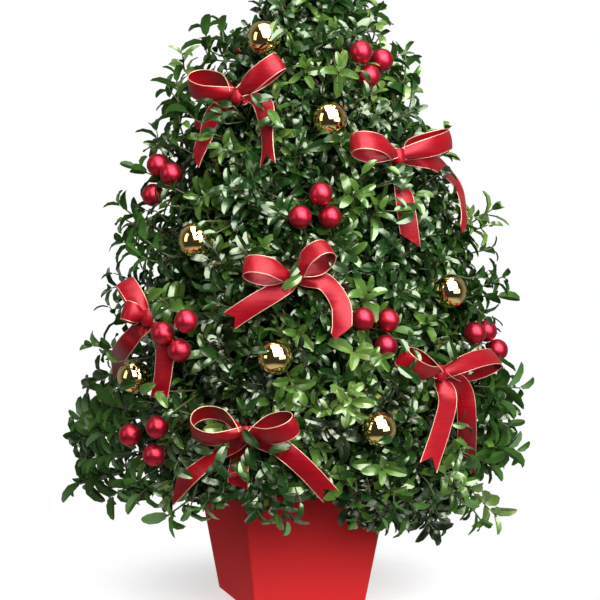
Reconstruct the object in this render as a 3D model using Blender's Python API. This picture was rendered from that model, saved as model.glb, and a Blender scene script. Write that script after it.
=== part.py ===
"""A boxwood cone, dressed as a small Christmas tree, in a square red pot.

Metres, +Z up. The origin is the middle of the pot's flat underside, the pot's front faces -Y.
A central stem stands in the potting mix, boughs leave it in three whorls, and each bough carries
one mass of foliage: a stem, twigs that branch from it, and leaves in opposite pairs, fused over a
smaller dense core. A last mass sits on the tip of the central stem.
"""

import math
import random
from collections import namedtuple

import bmesh
import bpy
from mathutils import Vector

# Driving dimensions
POT_HEIGHT = 0.095
POT_RIM = 0.1165
POT_FOOT = 0.0885
POT_WALL = 0.0035
POT_FLOOR = 0.005
POT_CORNER = 0.0018
POT_EDGE = 0.0006
SOIL_DROP = 0.009
SOIL_RELIEF = 0.0015
SOIL_SQUARES = 6
SOIL_LEVEL_EDGE = 0.002
SOIL_LEVEL_MIDDLE = 0.032
GAP = 0.0003
CROWN_LEAN = 0.006

# The crown's outline, height against radius, from the edge of the skirt over the pot up to the tip,
# with the waves round it: how many, how much they shift with height, and how deep they are
OUTLINE = (
    (0.082, 0.080), (0.058, 0.108), (0.056, 0.136), (0.085, 0.160), (0.120, 0.172), (0.165, 0.168),
    (0.232, 0.157), (0.308, 0.137), (0.385, 0.107), (0.424, 0.092), (0.462, 0.068), (0.500, 0.045),
    (0.537, 0.015),
)
CROWN_TOP = OUTLINE[-1][0]
LOBES = ((3, 11.0, 0.030), (5, 17.0, 0.025), (2, 29.0, 0.020))

# The skirt hangs low at the pot's sides, and is clipped higher before and behind it, so that the pot
# shows: the lowest leaves at the sides, how much higher they end, up to where, and how wide that part
# is, as squared cosines of the angle from its middle
SKIRT_LOW = 0.040
SKIRT_LIFT = 0.055
SKIRT_LIFT_TOP = 0.135
SKIRT_LIFT_MIDDLE = math.radians(-110.0)
SKIRT_LIFT_FROM = 0.56
SKIRT_LIFT_FULL = 0.76

# Central stem
STEM_TOP = 0.405
STEM_FOOT = 0.0075
STEM_TIP = 0.0022
STEM_FLARE = 0.45
STEM_FLARE_HEIGHT = 0.012
STEM_ROOTS = 5
STEM_SIDES = 10
STEM_RINGS = 14
STEM_CROWDING = 1.25
STEM_BEND = 0.0012
STEM_BENDS_PER_METRE = 21

# Whorls of boughs: how many, the lowest and highest level of their masses, the bare radius inside
# them, the turn of the first sector, where a bough leaves the stem, where it ends, the lowest level
# of a mass's core, and the twigs in each mass. A level is flat only near the stem: each whorl's
# foliage hangs lower at its outer edge, over the next whorl, and waves a little on its way round.
Whorl = namedtuple("Whorl", "name count low high inner turn leaves_stem bough_tip core_low twigs")
WHORLS = (
    Whorl("low", 6, 0.080, 0.245, 0.060, 0.20, 0.112, 0.152, 0.133, 7),
    Whorl("mid", 6, 0.245, 0.340, 0.048, 0.72, 0.206, 0.270, 0.245, 5),
    Whorl("high", 4, 0.340, 0.418, 0.034, 0.35, 0.306, 0.362, 0.340, 6),
)
TOP_LOW = 0.418
TOP_CORE_HIGH = 0.508
TOP_TWIGS = 12
TWIST = 3.2
LEVEL_WAVES = 3
LEVEL_WAVE = 0.05
LEVEL_SLOPE = 0.30
BOUGH_SHARE = 0.42
BOUGH_TAPER = 0.64
BOUGH_STAGGER = 0.008
BOUGH_SIDES = 6
BOUGH_PIECES = 4
BOUGH_OUT = 0.45
BOUGH_UP = 0.72

# Foliage: the core of each mass, its stem, and the twigs and leaves that stand out of it. Leaves sit
# in opposite pairs, and one that finds no room at its full size is made smaller, down to a bud.
CORE_SHARE = 0.70
CORE_EDGE = 0.0024
CORE_BACK = 0.004
CORE_SQUARENESS = 11.0
CORE_RELIEF = 0.09
TIP_CORE_SLIMMER = 0.9
MASS_STEM = 0.016
MASS_STEM_SIDES = 5
TOP_STEM = 0.013
TWIG_BASE = 0.0016
TWIG_TIP = 0.0010
TWIG_DIP = 0.010
TWIG_SIDES = 3
TWIG_TURN_AT = 0.55
LEAF_LENGTH = 0.036
LEAF_WIDTH = 0.016
LEAF_SIZES = (1.0, 0.8, 0.62, 0.12)
LEAF_WIDEST_AT = 0.50
LEAF_KEEL = 0.045
LEAF_CURL = 0.10
LEAF_DROOP = 0.07
WHORL_LEANS = (math.radians(45), math.radians(62), math.radians(70), math.radians(80))
WHORL_STEP = 0.013
NODE_ABOVE = 0.0011
NODE_BELOW = 0.0026
VALLEY = 0.0021
TIP_INSET = 0.009
TIP_DEPTH = 0.22
TIPS_LOWER = 0.85
BUD_ROOM = 0.006
TRIES = 24
SPACE_EDGE = 0.0006
SPACE_BESIDE_POT = 0.004
SPACE_OVER_POT = 0.003
SPACE_OVER_TIP = 0.02
PATH_CHECKS = 8
SEED = 1213

COLOURS = {
    "pot": ((0.58, 0.022, 0.025, 1), 0.35),
    "potting_mix": ((0.05, 0.032, 0.02, 1), 0.95),
    "bark": ((0.19, 0.14, 0.085, 1), 0.85),
    "leaves": ((0.035, 0.105, 0.03, 1), 0.4),
}


def clear_scene():
    for old in list(bpy.data.objects):
        bpy.data.objects.remove(old, do_unlink=True)


def material(name):
    """One Principled material for each finish, shared by the objects that have it."""
    made = bpy.data.materials.get(name)
    if made:
        return made
    colour, roughness = COLOURS[name]
    made = bpy.data.materials.new(name)
    made.use_nodes = True
    shader = made.node_tree.nodes["Principled BSDF"]
    shader.inputs["Base Color"].default_value = colour
    shader.inputs["Roughness"].default_value = roughness
    shader.inputs["Metallic"].default_value = 0.0
    return made


def new_object(name, bm, finish, smooth_degrees=None, collection=None):
    """A named object from a bmesh, its faces turned outwards."""
    bmesh.ops.recalc_face_normals(bm, faces=bm.faces)
    mesh = bpy.data.meshes.new(name)
    bm.to_mesh(mesh)
    bm.free()
    mesh.materials.append(material(finish))
    if smooth_degrees:
        mesh.shade_smooth()
        mesh.set_sharp_from_angle(angle=math.radians(smooth_degrees))
    made = bpy.data.objects.new(name, mesh)
    (collection or bpy.context.scene.collection).objects.link(made)
    return made


def loft(bm, rings):
    """Joins rings of equally many points, in order, and closes both ends."""
    made = [[bm.verts.new(point) for point in ring] for ring in rings]
    for lower, upper in zip(made, made[1:]):
        count = len(lower)
        for i in range(count):
            j = (i + 1) % count
            bm.faces.new((lower[i], lower[j], upper[j], upper[i]))
    bm.faces.new(list(reversed(made[0])))
    bm.faces.new(made[-1])
    return made


def frame_along(tangent):
    """Two directions square to a tangent and to each other."""
    helper = Vector((0, 0, 1)) if abs(tangent.z) < 0.9 else Vector((1, 0, 0))
    side = tangent.cross(helper).normalized()
    return side, tangent.cross(side).normalized()


def tube(bm, path, radii, sides):
    """A tapering limb of few sides along a path. Its ends are square to the path."""
    rings = []
    side, other = frame_along((path[1] - path[0]).normalized())
    for i, point in enumerate(path):
        ahead = path[min(i + 1, len(path) - 1)]
        behind = path[max(i - 1, 0)]
        tangent = (ahead - behind).normalized()
        side = (side - tangent * side.dot(tangent)).normalized()
        other = tangent.cross(side)
        rings.append(
            [
                point + radii[i] * (math.cos(a) * side + math.sin(a) * other)
                for a in (2 * math.pi * k / sides for k in range(sides))
            ]
        )
    loft(bm, rings)


def bent(start, middle, end, pieces):
    """Points along a quadratic curve."""
    steps = [i / pieces for i in range(pieces + 1)]
    return [start * (1 - t) ** 2 + middle * 2 * t * (1 - t) + end * t * t for t in steps]


def taper(first, last, count):
    return [first + (last - first) * i / (count - 1) for i in range(count)]


# The crown's shape


def along_outline(share):
    """Height and radius at a share of the outline's length, 0 at the skirt and 1 at the tip."""
    lengths = [math.dist(a, b) for a, b in zip(OUTLINE, OUTLINE[1:])]
    left = share * sum(lengths)
    for (a, b), length in zip(zip(OUTLINE, OUTLINE[1:]), lengths):
        if left <= length:
            t = left / length
            return a[0] + (b[0] - a[0]) * t, a[1] + (b[1] - a[1]) * t
        left -= length
    return OUTLINE[-1]


def reach(height):
    """The crown's outer radius at a height, from the skirt's lowest edge upwards."""
    side = OUTLINE[2:]
    if height <= side[0][0]:
        return side[0][1]
    for a, b in zip(side, side[1:]):
        if height <= b[0]:
            return a[1] + (b[1] - a[1]) * (height - a[0]) / (b[0] - a[0])
    return side[-1][1]


def lobes(height, azimuth):
    """The crown is a little uneven: it swells and dips around its outline."""
    return 1 + sum(size * math.sin(n * azimuth + k * height) for n, k, size in LOBES)


def axis_at(height):
    """The crown leans a little to the right as it rises."""
    return Vector((CROWN_LEAN * (height - POT_HEIGHT) / CROWN_TOP, 0, height))


def on_crown(height, radius, azimuth):
    out = Vector((math.cos(azimuth), math.sin(azimuth), 0))
    return axis_at(height) + out * radius * lobes(height, azimuth)


def skirt_lift(azimuth):
    """How much higher the skirt ends at an angle round the crown."""
    near = math.cos(azimuth - SKIRT_LIFT_MIDDLE) ** 2
    share = max(0.0, min((near - SKIRT_LIFT_FROM) / (SKIRT_LIFT_FULL - SKIRT_LIFT_FROM), 1.0))
    return SKIRT_LIFT * share * share * (3 - 2 * share)


def pot_half(height, top=POT_RIM, foot=POT_FOOT):
    """Half the pot's width at a height."""
    return (foot + (top - foot) * height / POT_HEIGHT) / 2


def level_shift(radius, azimuth):
    """How far the level between two whorls lies above its place at the stem."""
    return radius * (LEVEL_WAVE * math.sin(LEVEL_WAVES * azimuth) - LEVEL_SLOPE)


class Space:
    """The room that one mass of foliage keeps to: a sector of one whorl, or the whole tip."""

    def __init__(self, low, high, inner, middle=0.0, half=math.pi):
        self.low, self.high, self.inner = low, high, inner
        self.middle, self.half = middle, half

    def middle_at(self, level):
        """The sector turns as it rises, so that the seams between masses aren't upright."""
        return self.middle + TWIST * (level - (self.low + self.high) / 2)

    def holds(self, point, margin=SPACE_EDGE):
        """True where a point is inside, clear of the pot, the bare middle and the next masses."""
        from_axis = point - axis_at(point.z)
        radius = math.hypot(from_axis.x, from_axis.y)
        azimuth = math.atan2(from_axis.y, from_axis.x)
        level = point.z - level_shift(radius, azimuth)
        if not self.low + margin < level < self.high - margin:
            return False
        if point.z < SKIRT_LOW + skirt_lift(azimuth) + margin:
            return False
        if radius > reach(point.z) * lobes(point.z, azimuth):
            return False
        if self.inner and radius < self.inner + margin:
            return False
        if self.half < math.pi:
            off = (azimuth - self.middle_at(level) + math.pi) % (2 * math.pi) - math.pi
            if radius * math.sin(min(self.half - abs(off), math.pi / 2)) < margin:
                return False
        beside_pot = max(abs(point.x), abs(point.y)) > pot_half(point.z) + SPACE_BESIDE_POT
        return point.z > POT_HEIGHT + SPACE_OVER_POT or beside_pot

    def holds_all(self, points, margin=SPACE_EDGE):
        """True where a path of straight lines is inside all the way."""
        steps = [k / PATH_CHECKS for k in range(PATH_CHECKS + 1)]
        path = (a.lerp(b, t) for a, b in zip(points, points[1:]) for t in steps)
        return all(self.holds(point, margin) for point in path)

    def tip(self, rng):
        """A place for a twig's tip, somewhat inside the crown's outer surface."""
        height, radius = along_outline(rng.random() ** TIPS_LOWER)
        middle = self.middle_at(height + LEVEL_SLOPE * radius)
        azimuth = middle + self.half * rng.uniform(-0.9, 0.9)
        inset = TIP_INSET if height > POT_HEIGHT else -TIP_INSET
        low_share = min((SKIRT_LIFT_TOP - height) / (SKIRT_LIFT_TOP - OUTLINE[2][0]), 1.0)
        height += skirt_lift(azimuth) * max(0.0, low_share)
        depth = min(LEAF_LENGTH * rng.uniform(0.45, 0.75), TIP_DEPTH * radius)
        return on_crown(height, radius - depth, azimuth) - Vector((0, 0, inset))


def spaces():
    """Each mass's name, room, number of twigs, whorl and place in it."""
    made = []
    for whorl in WHORLS:
        for i in range(whorl.count):
            middle = whorl.turn + 2 * math.pi * i / whorl.count
            room = Space(whorl.low, whorl.high, whorl.inner, middle, math.pi / whorl.count)
            made.append((f"foliage_{whorl.name}_{i + 1}", room, whorl.twigs, whorl, i))
    made.append(("foliage_top", Space(TOP_LOW, CROWN_TOP + SPACE_OVER_TIP, 0.0), TOP_TWIGS, None, 0))
    return made


# Pot and potting mix


def square_ring(half, height):
    return [Vector((x * half, y * half, height)) for x, y in ((-1, -1), (1, -1), (1, 1), (-1, 1))]


def make_pot():
    """A tapered square pot: outside up, over the rim and down the inside to its floor."""
    bm = bmesh.new()
    outer = [square_ring(pot_half(z), z) for z in (0, POT_HEIGHT)]
    inner = [square_ring(pot_half(z) - POT_WALL, z) for z in (POT_HEIGHT, POT_FLOOR)]
    rings = loft(bm, outer + inner)
    corners = [bm.edges.get((rings[0][i], rings[1][i])) for i in range(4)]
    bmesh.ops.bevel(bm, geom=corners, offset=POT_CORNER, segments=3, affect="EDGES", profile=0.5)
    pot = new_object("pot", bm, "pot", smooth_degrees=40)
    edges = pot.modifiers.new("edges", "BEVEL")
    edges.width = POT_EDGE
    edges.segments = 2
    edges.limit_method = "ANGLE"
    edges.angle_limit = math.radians(50)


def make_potting_mix():
    """Fills the pot to just under its rim, level where the stem stands and crumbly round it."""
    rng = random.Random(SEED)
    level = POT_HEIGHT - SOIL_DROP
    bm = bmesh.new()
    low = POT_FLOOR + GAP
    rings = [square_ring(pot_half(z) - POT_WALL - GAP, z) for z in (low, level)]
    made = loft(bm, rings)
    top = next(face for face in bm.faces if set(face.verts) == set(made[-1]))
    bmesh.ops.subdivide_edges(bm, edges=list(top.edges), cuts=SOIL_SQUARES - 1, use_grid_fill=True)
    half = pot_half(level) - POT_WALL - GAP
    for vert in bm.verts:
        inside = half - max(abs(vert.co.x), abs(vert.co.y)) > SOIL_LEVEL_EDGE
        if vert.co.z > level - GAP and inside and vert.co.xy.length > SOIL_LEVEL_MIDDLE:
            vert.co.z += rng.uniform(-1, 1) * SOIL_RELIEF
    bmesh.ops.triangulate(bm, faces=[face for face in bm.faces if len(face.verts) > 4])
    new_object("potting_mix", bm, "potting_mix")
    return level


# Central stem and boughs


def stem_path(foot):
    """The central stem follows the crown's lean, with a slight bend of its own."""
    path = []
    for i in range(STEM_RINGS):
        height = foot + (STEM_TOP - foot) * (i / (STEM_RINGS - 1)) ** STEM_CROWDING
        bend = STEM_BEND * math.sin(height * STEM_BENDS_PER_METRE)
        path.append(axis_at(height) + Vector((bend, bend * 0.6, 0)))
    return path


def stem_mesh(foot, grow=0.0):
    """The stem's rings, with five low root flares at its flat foot."""
    path = stem_path(foot)
    radii = taper(STEM_FOOT, STEM_TIP, STEM_RINGS)
    rings = []
    for point, radius in zip(path, radii):
        flare = STEM_FLARE * math.exp(-(point.z - foot) / STEM_FLARE_HEIGHT)
        ring = []
        for k in range(STEM_SIDES):
            a = 2 * math.pi * k / STEM_SIDES
            size = radius * (1 + flare * (0.6 + 0.4 * math.cos(STEM_ROOTS * a))) + grow
            ring.append(point + Vector((math.cos(a) * size, math.sin(a) * size, 0)))
        rings.append(ring)
    bm = bmesh.new()
    loft(bm, rings)
    return bm


def applied(obj):
    """Bakes an object's modifiers into its mesh."""
    graph = bpy.context.evaluated_depsgraph_get()
    mesh = bpy.data.meshes.new_from_object(obj.evaluated_get(graph))
    obj.modifiers.clear()
    obj.data = mesh


def bough_path(whorl, i, foot):
    """From the stem, out and up, to the inner edge of the bough's own mass."""
    middle = whorl.turn + 2 * math.pi * i / whorl.count
    out = Vector((math.cos(middle), math.sin(middle), 0))
    start_height = whorl.leaves_stem + (i % 2) * BOUGH_STAGGER
    start = min(stem_path(foot), key=lambda p: abs(p.z - start_height)).copy()
    start.z = start_height
    end = axis_at(whorl.bough_tip) + out * (whorl.inner - CORE_BACK)
    middle_point = start + out * (end - start).xy.length * BOUGH_OUT
    middle_point.z = start_height + (end.z - start_height) * BOUGH_UP
    return bent(start, middle_point, end, BOUGH_PIECES)


def bough_radii(path, foot):
    """A bough is somewhat under half as thick as the stem where it leaves it, and tapers outwards."""
    share = (path[0].z - foot) / (STEM_TOP - foot)
    base = BOUGH_SHARE * (STEM_FOOT + (STEM_TIP - STEM_FOOT) * share)
    return taper(base, base * BOUGH_TAPER, len(path))


def make_boughs(foot):
    """Each bough's root is cut to the stem's own surface, a hair clear of it."""
    cutter = new_object("stem_cutter", stem_mesh(foot, grow=GAP), "bark")
    cutter.hide_render = True
    cutter.display_type = "WIRE"
    for whorl in WHORLS:
        for i in range(whorl.count):
            path = bough_path(whorl, i, foot)
            bm = bmesh.new()
            tube(bm, path, bough_radii(path, foot), BOUGH_SIDES)
            bough = new_object(f"bough_{whorl.name}_{i + 1}", bm, "bark", smooth_degrees=50)
            cut = bough.modifiers.new("root", "BOOLEAN")
            cut.operation = "DIFFERENCE"
            cut.object = cutter
            applied(bough)
            keep_main_body(bough.data)
    bpy.data.objects.remove(cutter, do_unlink=True)


# Foliage


def islands(bm):
    """The faces of each separate body in a mesh."""
    left = set(bm.faces)
    while left:
        body, edge = set(), [left.pop()]
        while edge:
            face = edge.pop()
            body.add(face)
            for neighbour in (f for e in face.edges for f in e.link_faces):
                if neighbour in left:
                    left.remove(neighbour)
                    edge.append(neighbour)
        yield body


def keep_main_body(mesh):
    """Drops loose scraps and fills hollows that joining has sealed: only the largest body stays."""
    bm = bmesh.new()
    bm.from_mesh(mesh)
    bodies = sorted(islands(bm), key=lambda body: sum(face.calc_area() for face in body))
    spare = [face for body in bodies[:-1] for face in body]
    bmesh.ops.delete(bm, geom=spare, context="FACES")
    bm.to_mesh(mesh)
    bm.free()


def leaf_edge(node, along, out, lean, size):
    """A leaf's right edge, tip and left edge. It is a little keeled, and its tip curls back."""
    across = along.cross(out)
    direction = (along * math.cos(lean) + out * math.sin(lean) - Vector((0, 0, LEAF_DROOP))).normalized()
    facing = across.cross(direction) * -1
    length = LEAF_LENGTH * size
    waist = node + direction * length * LEAF_WIDEST_AT + facing * length * LEAF_KEEL
    half = across * LEAF_WIDTH * size / 2
    return [waist - half, node + direction * length - facing * length * LEAF_CURL, waist + half]


def whorl_rim(node, along, leans, turn, room, rng):
    """The edge of two opposite pairs of leaves. A leaf that would leave the room stays a bud."""
    side, other = frame_along(along)
    rim = []
    for k in range(4):
        angle = turn + k * math.pi / 2
        out = math.cos(angle) * side + math.sin(angle) * other
        lean = leans[k % 2] + rng.uniform(-0.1, 0.1)
        size = rng.uniform(0.86, 1.04)
        edges = [leaf_edge(node, along, out, lean, size * share) for share in LEAF_SIZES]
        rim += next((edge for edge in edges if room.holds_all([node, *edge, node])), edges[-1])
        middle = angle + math.pi / 4
        rim.append(node + VALLEY * (math.cos(middle) * side + math.sin(middle) * other + along * 0.4))
    return rim


def bridge(bm, ring, rim, upwards):
    """Joins a twig's ring of few points to a whorl's rim of many."""
    share = len(ring) / len(rim)
    for i, point in enumerate(rim):
        after = rim[(i + 1) % len(rim)]
        near = ring[round(i * share) % len(ring)]
        next_near = ring[round((i + 1) * share) % len(ring)]
        faces = [(near, after, point)]
        if next_near is not near:
            faces.append((near, next_near, after))
        for face in faces:
            bm.faces.new(tuple(reversed(face)) if upwards else face)


def spray_mesh(path, room, rng):
    """A twig with a wide whorl of leaves near its end and a narrower one at its tip, as one body."""
    along = (path[-1] - path[-2]).normalized()
    side, other = frame_along(along)
    turn = rng.uniform(0, math.pi)
    bm = bmesh.new()

    def ring_at(centre, radius, start):
        angles = [start + 2 * math.pi * k / TWIG_SIDES for k in range(TWIG_SIDES)]
        points = [centre + radius * (math.cos(a) * side + math.sin(a) * other) for a in angles]
        return [bm.verts.new(point) for point in points]

    radii = taper(TWIG_BASE, TWIG_TIP, len(path))
    rings = [ring_at(point, radius, turn) for point, radius in zip(path[:-1], radii)]
    bm.faces.new(list(reversed(rings[0])))
    for n in (1, 0):
        node = path[-1] - along * WHORL_STEP * n
        start = turn + n * math.pi / 4
        rim = [bm.verts.new(p) for p in whorl_rim(node, along, WHORL_LEANS[2 * n :], start, room, rng)]
        rings.append(ring_at(node - along * NODE_BELOW, TWIG_TIP, start))
        bridge(bm, rings[-1], rim, upwards=False)
        if n:
            rings.append(ring_at(node + along * NODE_ABOVE, TWIG_TIP, start))
            bridge(bm, rings[-1], rim, upwards=True)
            below = rings[:-1]
            above = rings[-1:]
    bud = bm.verts.new(path[-1] + along * NODE_ABOVE)
    for a, b in zip(rim, rim[1:] + rim[:1]):
        bm.faces.new((bud, a, b))
    for stretch in (below, above + rings[-1:]):
        for lower, upper in zip(stretch, stretch[1:]):
            for k in range(TWIG_SIDES):
                j = (k + 1) % TWIG_SIDES
                bm.faces.new((lower[k], lower[j], upper[j], upper[k]))
    return bm


def twig_path(heart, tip):
    """From the heart of the mass outwards, rising at its end, or arching over and down below."""
    arch = -TWIG_DIP if tip.z > POT_HEIGHT else 2 * TWIG_DIP
    middle = heart.lerp(tip, TWIG_TURN_AT) + Vector((0, 0, arch))
    return bent(heart, middle, tip, 2)


def twig_paths(room, heart, count, rng):
    """Twigs that end evenly over the mass's outer surface: each is the best of many tries."""
    found = []
    while len(found) < count:
        tries = []
        for _ in range(TRIES):
            path = twig_path(heart, room.tip(rng))
            if room.holds(path[-1], BUD_ROOM) and room.holds_all(path, 2 * TWIG_BASE):
                gap = min(((path[-1] - other[-1]).length for other in found), default=1.0)
                tries.append((gap, path))
        if tries:
            found.append(max(tries, key=lambda entry: entry[0])[1])
    return found


def cube_of_squares(cuts=2):
    bm = bmesh.new()
    bmesh.ops.create_cube(bm, size=2)
    bmesh.ops.subdivide_edges(bm, edges=bm.edges, cuts=cuts, use_grid_fill=True)
    return bm


def rounded(point):
    """Moves a point of that cube inwards, so that the cube's edges and corners are rounded."""
    size = sum(abs(part) ** CORE_SQUARENESS for part in point) ** (1 / CORE_SQUARENESS)
    return point / size


def core_radius(level, rng):
    height = level - LEVEL_SLOPE * reach(level) * CORE_SHARE
    return reach(height) * CORE_SHARE * (1 + CORE_RELIEF * rng.uniform(-1, 1))


def core_of_sector(room, low, rng):
    """A rounded, uneven lump that fills the inside of a sector."""
    bm = cube_of_squares()
    for vert in bm.verts:
        across, out, up = rounded(vert.co)
        level = low + CORE_EDGE + (room.high - low - 2 * CORE_EDGE) * (up + 1) / 2
        inner = room.inner + CORE_BACK
        radius = inner + (core_radius(level, rng) - inner) * (out + 1) / 2
        azimuth = room.middle_at(level) + (room.half - CORE_EDGE / radius) * across
        direction = Vector((math.cos(azimuth), math.sin(azimuth), 0))
        vert.co = axis_at(level + level_shift(radius, azimuth)) + direction * radius
    return bm


def core_of_tip(room, rng):
    """The dense heart of the crown's tip, an uneven cone: the cube's squares become circles."""
    bm = cube_of_squares()
    for vert in bm.verts:
        x, y, up = vert.co
        level = room.low + CORE_EDGE + (TOP_CORE_HIGH - room.low - CORE_EDGE) * (up + 1) / 2
        radius = max(abs(x), abs(y)) * core_radius(level, rng) * TIP_CORE_SLIMMER
        azimuth = math.atan2(y, x)
        direction = Vector((math.cos(azimuth), math.sin(azimuth), 0))
        vert.co = axis_at(level + level_shift(radius, azimuth)) + direction * radius
    return bm


def make_mass(name, room, twigs, whorl, index, foot):
    """One mass of foliage: its core, stem, twigs and leaves, joined into one body."""
    rng = random.Random(f"{SEED} {name}")
    pieces = bpy.data.collections.new(f"{name}_pieces")
    bpy.context.scene.collection.children.link(pieces)
    if whorl:
        bough = bough_path(whorl, index, foot)
        ahead = (bough[-1] - bough[-2]).normalized()
        start = bough[-1] + ahead * GAP
        heart = start + ahead * MASS_STEM
        core = core_of_sector(room, whorl.core_low, rng)
        radius = bough_radii(bough, foot)[-1]
    else:
        tip = stem_path(foot)[-1]
        start = tip + Vector((0, 0, GAP))
        heart = axis_at(TOP_LOW + TOP_STEM + GAP)
        core = core_of_tip(room, rng)
        radius = STEM_TIP
    body = new_object(name, core, "leaves")
    bm = bmesh.new()
    tube(bm, [start, (start + heart) / 2, heart], [radius] * 3, MASS_STEM_SIDES)
    new_object(f"{name}_stem", bm, "leaves", collection=pieces)
    for n, path in enumerate(twig_paths(room, heart, twigs, rng)):
        new_object(f"{name}_twig_{n}", spray_mesh(path, room, rng), "leaves", collection=pieces)
    join = body.modifiers.new("join", "BOOLEAN")
    join.operation = "UNION"
    join.operand_type = "COLLECTION"
    join.collection = pieces
    applied(body)
    for piece in list(pieces.objects):
        bpy.data.objects.remove(piece, do_unlink=True)
    bpy.data.collections.remove(pieces)
    keep_main_body(body.data)


def main():
    clear_scene()
    make_pot()
    foot = make_potting_mix() + GAP
    new_object("trunk", stem_mesh(foot), "bark", smooth_degrees=50)
    make_boughs(foot)
    for name, room, twigs, whorl, index in spaces():
        make_mass(name, room, twigs, whorl, index, foot)


main()
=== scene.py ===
# %% [markdown]
# # A boxwood cone dressed as a small Christmas tree
#
# The real thing stands on a table: a small boxwood, clipped to a cone and grown out again, in a square red
# pot, with bows of wired satin ribbon, bright gold balls and red balls tied on in threes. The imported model
# fixes every size. This lesson replaces its plain masses with twigs and leaves, and gives each surface its
# finish. We start by loading that model, which never moves.

# %% Load the frame
import math
import random
from collections import namedtuple

import bpy
import numpy as np
from mathutils import Matrix, Vector, noise
from mathutils.kdtree import KDTree


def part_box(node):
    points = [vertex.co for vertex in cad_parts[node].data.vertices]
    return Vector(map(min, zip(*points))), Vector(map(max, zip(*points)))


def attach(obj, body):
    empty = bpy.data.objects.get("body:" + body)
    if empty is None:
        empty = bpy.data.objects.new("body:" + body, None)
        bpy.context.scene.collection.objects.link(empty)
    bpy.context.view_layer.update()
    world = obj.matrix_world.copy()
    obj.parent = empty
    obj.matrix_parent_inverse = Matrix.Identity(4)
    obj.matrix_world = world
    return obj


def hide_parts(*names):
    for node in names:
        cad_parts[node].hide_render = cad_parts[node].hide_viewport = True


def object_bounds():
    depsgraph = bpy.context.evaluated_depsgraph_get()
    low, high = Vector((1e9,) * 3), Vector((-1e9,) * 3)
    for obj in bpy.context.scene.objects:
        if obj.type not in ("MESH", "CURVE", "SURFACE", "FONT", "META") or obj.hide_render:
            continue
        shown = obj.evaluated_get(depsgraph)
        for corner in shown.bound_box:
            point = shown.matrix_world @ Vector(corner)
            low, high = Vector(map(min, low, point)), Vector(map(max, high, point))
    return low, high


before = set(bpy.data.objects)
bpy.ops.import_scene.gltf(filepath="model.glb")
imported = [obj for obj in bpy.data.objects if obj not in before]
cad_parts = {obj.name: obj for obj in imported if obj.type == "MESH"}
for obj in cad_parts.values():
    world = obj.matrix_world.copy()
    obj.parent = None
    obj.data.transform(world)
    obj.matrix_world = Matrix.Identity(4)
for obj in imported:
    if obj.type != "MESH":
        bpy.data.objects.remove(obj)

CAD_BOX = [list(corner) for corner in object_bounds()]
MASSES = sorted(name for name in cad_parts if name.startswith("foliage_"))
BOUGHS = sorted(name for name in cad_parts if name.startswith("bough_"))
print("packed model:", len(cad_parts), "nodes, box", [[round(x, 3) for x in c] for c in CAD_BOX])

# %% [markdown]
# ## Camera
#
# A camera can be placed by eye, but here the pot's straight edges let us fit it: their slopes give how
# far round and how high it stands, and the pot's known width gives the distance. A long lens from far
# away keeps the pot's sides nearly parallel, as in the picture. Numbers come from a 600 x 600 image.

# %% Place the camera
IMAGE_SIDE = 600
FOCAL_PIXELS = 2275
SENSOR = 36.0
VIEW_TURN = math.radians(-20.3)
VIEW_RISE = math.radians(8.2)
VIEW_DISTANCE = 1.73
AIM_HEIGHT = 0.2317
AIM_RIGHT = 0.0071

RIGHT = Vector((math.cos(VIEW_TURN), math.sin(VIEW_TURN), 0))
AHEAD = Vector((-math.sin(VIEW_TURN) * math.cos(VIEW_RISE), math.cos(VIEW_TURN) * math.cos(VIEW_RISE),
                -math.sin(VIEW_RISE)))
UP = RIGHT.cross(AHEAD)
EYE = Vector((0, 0, AIM_HEIGHT)) + RIGHT * AIM_RIGHT - AHEAD * VIEW_DISTANCE

camera = bpy.data.objects.new("camera", bpy.data.cameras.new("camera"))
camera.data.sensor_width = SENSOR
camera.data.lens = SENSOR * FOCAL_PIXELS / IMAGE_SIDE
camera.matrix_world = Matrix.Translation(EYE) @ Matrix((RIGHT, UP, -AHEAD)).transposed().to_4x4()
bpy.context.scene.collection.objects.link(camera)
bpy.context.scene.camera = camera
print("camera:", [round(x, 3) for x in EYE], "lens", round(camera.data.lens, 1))

# %% [markdown]
# ## The crown's shape
#
# The foliage grows inside the same outline that the solid model was grown in, so its rule is written
# again here: height against radius, gentle swellings round it, and a slight lean. A function of height
# and angle is easier to grow twigs against than a mesh, because a test for inside is one comparison.

# %% Outline, swellings and lean
CROWN_LEAN = 0.006
OUTLINE = (
    (0.082, 0.080), (0.058, 0.108), (0.056, 0.136), (0.085, 0.160), (0.120, 0.172), (0.165, 0.168),
    (0.232, 0.157), (0.308, 0.137), (0.385, 0.107), (0.424, 0.092), (0.462, 0.068), (0.500, 0.045),
    (0.537, 0.015),
)
CROWN_TOP = OUTLINE[-1][0]
SIDE_HEIGHTS, SIDE_RADII = zip(*OUTLINE[2:])
LOBES = ((3, 11.0, 0.030), (5, 17.0, 0.025), (2, 29.0, 0.020))     # count, turn per metre, size
STEEPEST_DOWN = -0.6
STEEPEST_UP = 1.2
POT_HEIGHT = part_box("pot")[1].z
POT_RIM = 2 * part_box("pot")[1].x
POT_FOOT = 0.0885


def axis_at(height):
    """The point of the leaning axis at a height."""
    return Vector((CROWN_LEAN * (height - POT_HEIGHT) / CROWN_TOP, 0, height))


def swelling(height, azimuth):
    """How much wider than the plain outline the crown is there."""
    return 1 + sum(size * math.sin(n * azimuth + k * height) for n, k, size in LOBES)


def reach(height, azimuth):
    """The crown's radius at a height and an angle."""
    return float(np.interp(height, SIDE_HEIGHTS, SIDE_RADII)) * swelling(height, azimuth)


def around(point):
    """A point's angle round the crown's axis, and its distance from the axis."""
    away = point - axis_at(point.z)
    return math.atan2(away.y, away.x), math.hypot(away.x, away.y)


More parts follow.
